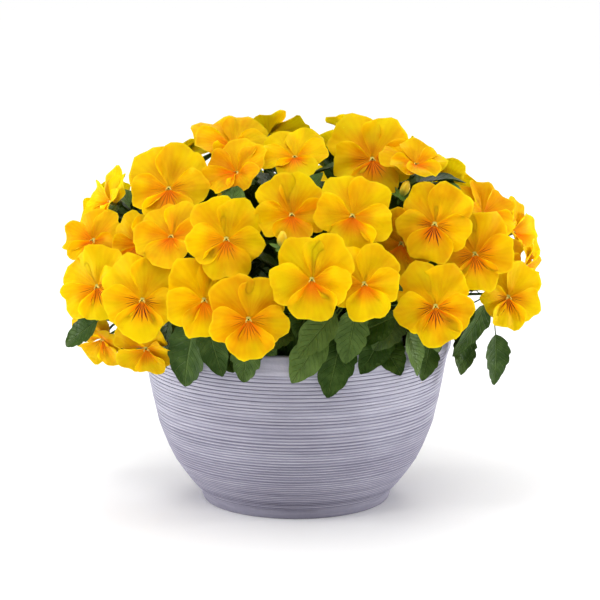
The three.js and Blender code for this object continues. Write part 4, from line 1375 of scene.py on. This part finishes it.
class PANSY_OT_plants(bpy.types.Operator):
    """Grow the crowns, stalks, calyces and leaves of the plants"""
    bl_idname = "pansy.plants"
    bl_label = "Plants"

    def execute(self, context):
        blooms, rim, inner = planting()
        fillers = self.fill_inside(blooms, [*rim, *inner])
        for plant in range(len(CROWNS)):
            work = Patchwork()
            self.add_crown(work, CROWNS[plant])
            for bloom in blooms:
                if bloom.plant == plant:
                    self.add_stalk(work, bloom)
                    self.add_calyx(work, bloom)
            for leaves, teeth, columns in ((rim, 5, 9), (inner, 4, 7), (fillers, 3, 5)):
                for leaf in leaves:
                    if leaf.bloom.plant == plant:
                        leaf.foot = leaf.bloom.spaced(np.array([leaf.part]))[0]
                        add_leaf(work, leaf, teeth, columns)
            piece = work.make(f"plant_{plant + 1}_greens", [stalk_finish(), leaf_finish()])
            place_piece(piece, "green", f"plant_{plant + 1}")
        return {"FINISHED"}

    def taken_room(self):
        """The solids of all but the plants, as one net."""
        points, faces = [], []
        for name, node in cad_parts.items():
            if not name.startswith("plant"):
                start = len(points)
                points += [vertex.co / MM for vertex in node.data.vertices]
                faces += [[start + corner for corner in face.vertices] for face in node.data.polygons]
        return BVHTree.FromPolygons(points, faces)

    def fill_inside(self, blooms, grown):
        """More leaves at the rim and up the stalks, where they cross neither bloom, bowl nor leaf."""
        taken = self.taken_room()
        leaves = [self.blade_tree(leaf) for leaf in grown]
        fillers = []
        low = np.array(CAD_LOW) / MM + BOX_CLEAR
        high = np.array(CAD_HIGH) / MM - BOX_CLEAR
        look = settings().leaves
        ways = [self.at_rim(blooms, place, look.skirt) for place in range(look.skirt)]
        for place in range(look.fillers):
            ways += [self.up_stalk(bloom, place, look.fillers) for bloom in blooms]
        for number, choices in ways:
            for leaf in choices:
                if np.any(leaf.tip < low) or np.any(leaf.tip > high):
                    continue
                tree, box = self.blade_tree(leaf)
                crossed = tree.overlap(taken) or any(
                    np.all(box[0] < other[1]) and np.all(other[0] < box[1]) and tree.overlap(blade)
                    for blade, other in leaves)
                if not crossed and not self.blade_tree(leaf, (-LEAF_CLEAR, LEAF_CLEAR))[0].overlap(taken):
                    leaf.index = number
                    fillers.append(leaf)
                    leaves.append((tree, box))
                    break
        for index, leaf in enumerate(grown):
            leaf.index = GROWN_NUMBERS + index
        return fillers

    def at_rim(self, blooms, place, count):
        """A leaf's number and the ways it can lie at the rim: inside, out over it, or every seventh below."""
        angle = 2 * math.pi * (place + draw_number(place, 170)) / count
        hangs = place % HANGING_EVERY == 3
        reach, z = HANGING_TIP if hangs else RIM_TIPS[place % 2]
        reach += 0 if hangs else 12 * draw_number(place, 171)
        z += 14 * draw_number(place, 172)
        width = 26 + 10 * draw_number(place, 173)
        choices = rim_choices(blooms, lambda clear: flat(angle) * (reach + clear) + UP * z, width, 0)
        return RIM_FILLER_NUMBERS + place, choices

    def up_stalk(self, bloom, place, count):
        """A leaf's number and the ways it can stand out of a stalk."""
        number = STALK_FILLER_NUMBERS + 100 * place + bloom.index
        part = 0.1 + 0.84 * ((place + draw_number(number, 160)) / count) ** 0.8
        length = 36 + 28 * draw_number(number, 161)
        width = length * (0.5 + 0.14 * draw_number(number, 162))
        swing = 3.6 * (draw_number(number, 163) - 0.5)
        lifts = (18 + 40 * draw_number(number, 164), 4, 62)
        return number, standing_leaves(bloom, part, swing, lifts, length, width)

    def blade_tree(self, leaf, offsets=(0,)):
        """Plain nets of a leaf's blade that can be tested against others, with the box round them."""
        along, across = np.meshgrid(np.linspace(max(leaf.stalk, 0.2), 1, 6), [-1.0, 0.0, 1.0], indexing="ij")
        points = [leaf_point(leaf, along, across, offset=offset).reshape(-1, 3) for offset in offsets]
        points = np.concatenate(points)
        net = quads(np.arange(along.size).reshape(along.shape))
        faces = np.concatenate([net + along.size * layer for layer in range(len(offsets))])
        tree = BVHTree.FromPolygons(points.tolist(), faces.tolist())
        return tree, (points.min(axis=0), points.max(axis=0))

    def add_crown(self, work, place):
        """The short thick stem that stands in the soil."""
        rings = [place + spokes(around(12)) * radius + UP * z for radius, z in CROWN]
        work.add_rings(np.array(rings))

    def add_stalk(self, work, bloom):
        """A round stalk that thins towards its bloom."""
        parts = np.linspace(0, 1, 17)
        radii = 1.75 - 0.55 * parts
        radii[-1] = 1.5
        work.add_rings(stalk_rings(bloom, bloom.spaced(parts), radii, 8))

    def add_calyx(self, work, bloom):
        """A small cup and five pointed sepals that stand out of it."""
        work.add_rings(bloom.rings(CUP, 10))
        tip_radius, tip_height = CALYX_TIP
        along, across = np.meshgrid(SEPAL_LINES, SEPAL_COLUMNS, indexing="ij")
        half = 3 * np.sin(math.pi * (0.18 + 0.82 * along)) ** 0.8 + 0.05
        radius = np.hypot(across * half, along * tip_radius)
        height = SEPAL_ROOT + (tip_height - SEPAL_ROOT) * along ** 2 + 0.5 * across ** 2
        for bearing in around(SEPALS):
            angle = bearing + np.arctan2(across * half, along * tip_radius)
            work.add_blade(
                lambda offset: bloom.at(radius, angle, height + offset),
                SEPAL_HALF, across, along, (0.8, 0, 0))


class PANSY_OT_stage(bpy.types.Operator):
    """Set the floor, the soft lights and the camera"""
    bl_idname = "pansy.stage"
    bl_label = "Stage"

    def execute(self, context):
        self.set_camera()
        self.lay_floor()
        self.hang_lights()
        context.scene.view_settings.view_transform = "Standard"
        return {"FINISHED"}

    def set_camera(self):
        """Stands the camera far off, with a lens that shows the chosen width."""
        look = settings().stage
        aim = Vector(VIEW_MIDDLE)
        back = Vector((0, -math.cos(look.lift), math.sin(look.lift)))
        data = bpy.data.cameras.new("view")
        data.sensor_width = 36
        data.lens = data.sensor_width * look.distance / look.across
        camera = bpy.data.objects.new("view", data)
        camera.location = aim + back * look.distance
        camera.rotation_euler = (-back).to_track_quat("-Z", "Y").to_euler()
        bpy.context.scene.collection.objects.link(camera)
        bpy.context.scene.camera = camera

    def lay_floor(self):
        bpy.ops.object.select_all(action="DESELECT")
        bpy.ops.mesh.primitive_plane_add(size=60, location=(0, 0, 0))
        floor = bpy.context.active_object
        floor.name = "studio_floor"
        finish = Finish("floor", roughness=0.55)
        finish.shader.inputs["Base Color"].default_value = (*settings().stage.floor_colour, 1)
        finish.shader.inputs["Specular IOR Level"].default_value = 0.3
        floor.data.materials.append(finish.material)

    def hang_lights(self):
        world = bpy.data.worlds.new("studio")
        world.use_nodes = True
        background = world.node_tree.nodes["Background"].inputs
        background["Color"].default_value = (1, 1, 1, 1)
        background["Strength"].default_value = 0.38
        bpy.context.scene.world = world
        sun = self.hang("sky", "SUN", (0, 0, 3), 2.4, Euler((0.25, -0.1, 0)))
        sun.angle = math.radians(90)
        for name, place, power, width in SOFT_BOXES:
            turn = (Vector(LIT_MIDDLE) - Vector(place)).to_track_quat("-Z", "Y").to_euler()
            box = self.hang(name, "AREA", place, power, turn)
            box.size = width

    def hang(self, name, kind, place, power, turn):
        lamp = bpy.data.lights.new(name, kind)
        lamp.energy = power
        holder = bpy.data.objects.new(name, lamp)
        holder.location = place
        holder.rotation_euler = turn
        bpy.context.scene.collection.objects.link(holder)
        return lamp


class PANSY_PG_planter(bpy.types.PropertyGroup):
    bowl: PointerProperty(type=PANSY_PG_bowl)
    blooms: PointerProperty(type=PANSY_PG_blooms)
    leaves: PointerProperty(type=PANSY_PG_leaves)
    stage: PointerProperty(type=PANSY_PG_stage)


OPERATORS = [PANSY_OT_stage, PANSY_OT_bowl, PANSY_OT_soil, PANSY_OT_blooms, PANSY_OT_buds, PANSY_OT_plants]


class PANSY_PT_panel(bpy.types.Panel):
    """Lists the pieces of the planter and what they are made by"""
    bl_idname = "PANSY_PT_panel"
    bl_label = "Pansy Planter"
    bl_space_type = "VIEW_3D"
    bl_region_type = "UI"
    bl_category = "Pansy Planter"

    def draw(self, context):
        for group in ("bowl", "blooms", "leaves", "stage"):
            box = self.layout.box()
            values = getattr(context.scene.pansy_planter, group)
            for name in values.__annotations__:
                box.prop(values, name)
        for operator in OPERATORS:
            self.layout.operator(operator.bl_idname)


CLASSES = [
    PANSY_PG_bowl, PANSY_PG_blooms, PANSY_PG_leaves, PANSY_PG_stage, PANSY_PG_planter,
    *OPERATORS, PANSY_PT_panel,
]


def register():
    for part in CLASSES:
        bpy.utils.register_class(part)
    bpy.types.Scene.pansy_planter = PointerProperty(type=PANSY_PG_planter)


def unregister():
    del bpy.types.Scene.pansy_planter
    for part in reversed(CLASSES):
        bpy.utils.unregister_class(part)


def main():
    register()
    bpy.ops.pansy.stage()
    bpy.ops.pansy.bowl()
    bpy.ops.pansy.soil()
    bpy.ops.pansy.blooms()
    bpy.ops.pansy.buds()
    bpy.ops.pansy.plants()


if __name__ == "__main__":
    main()
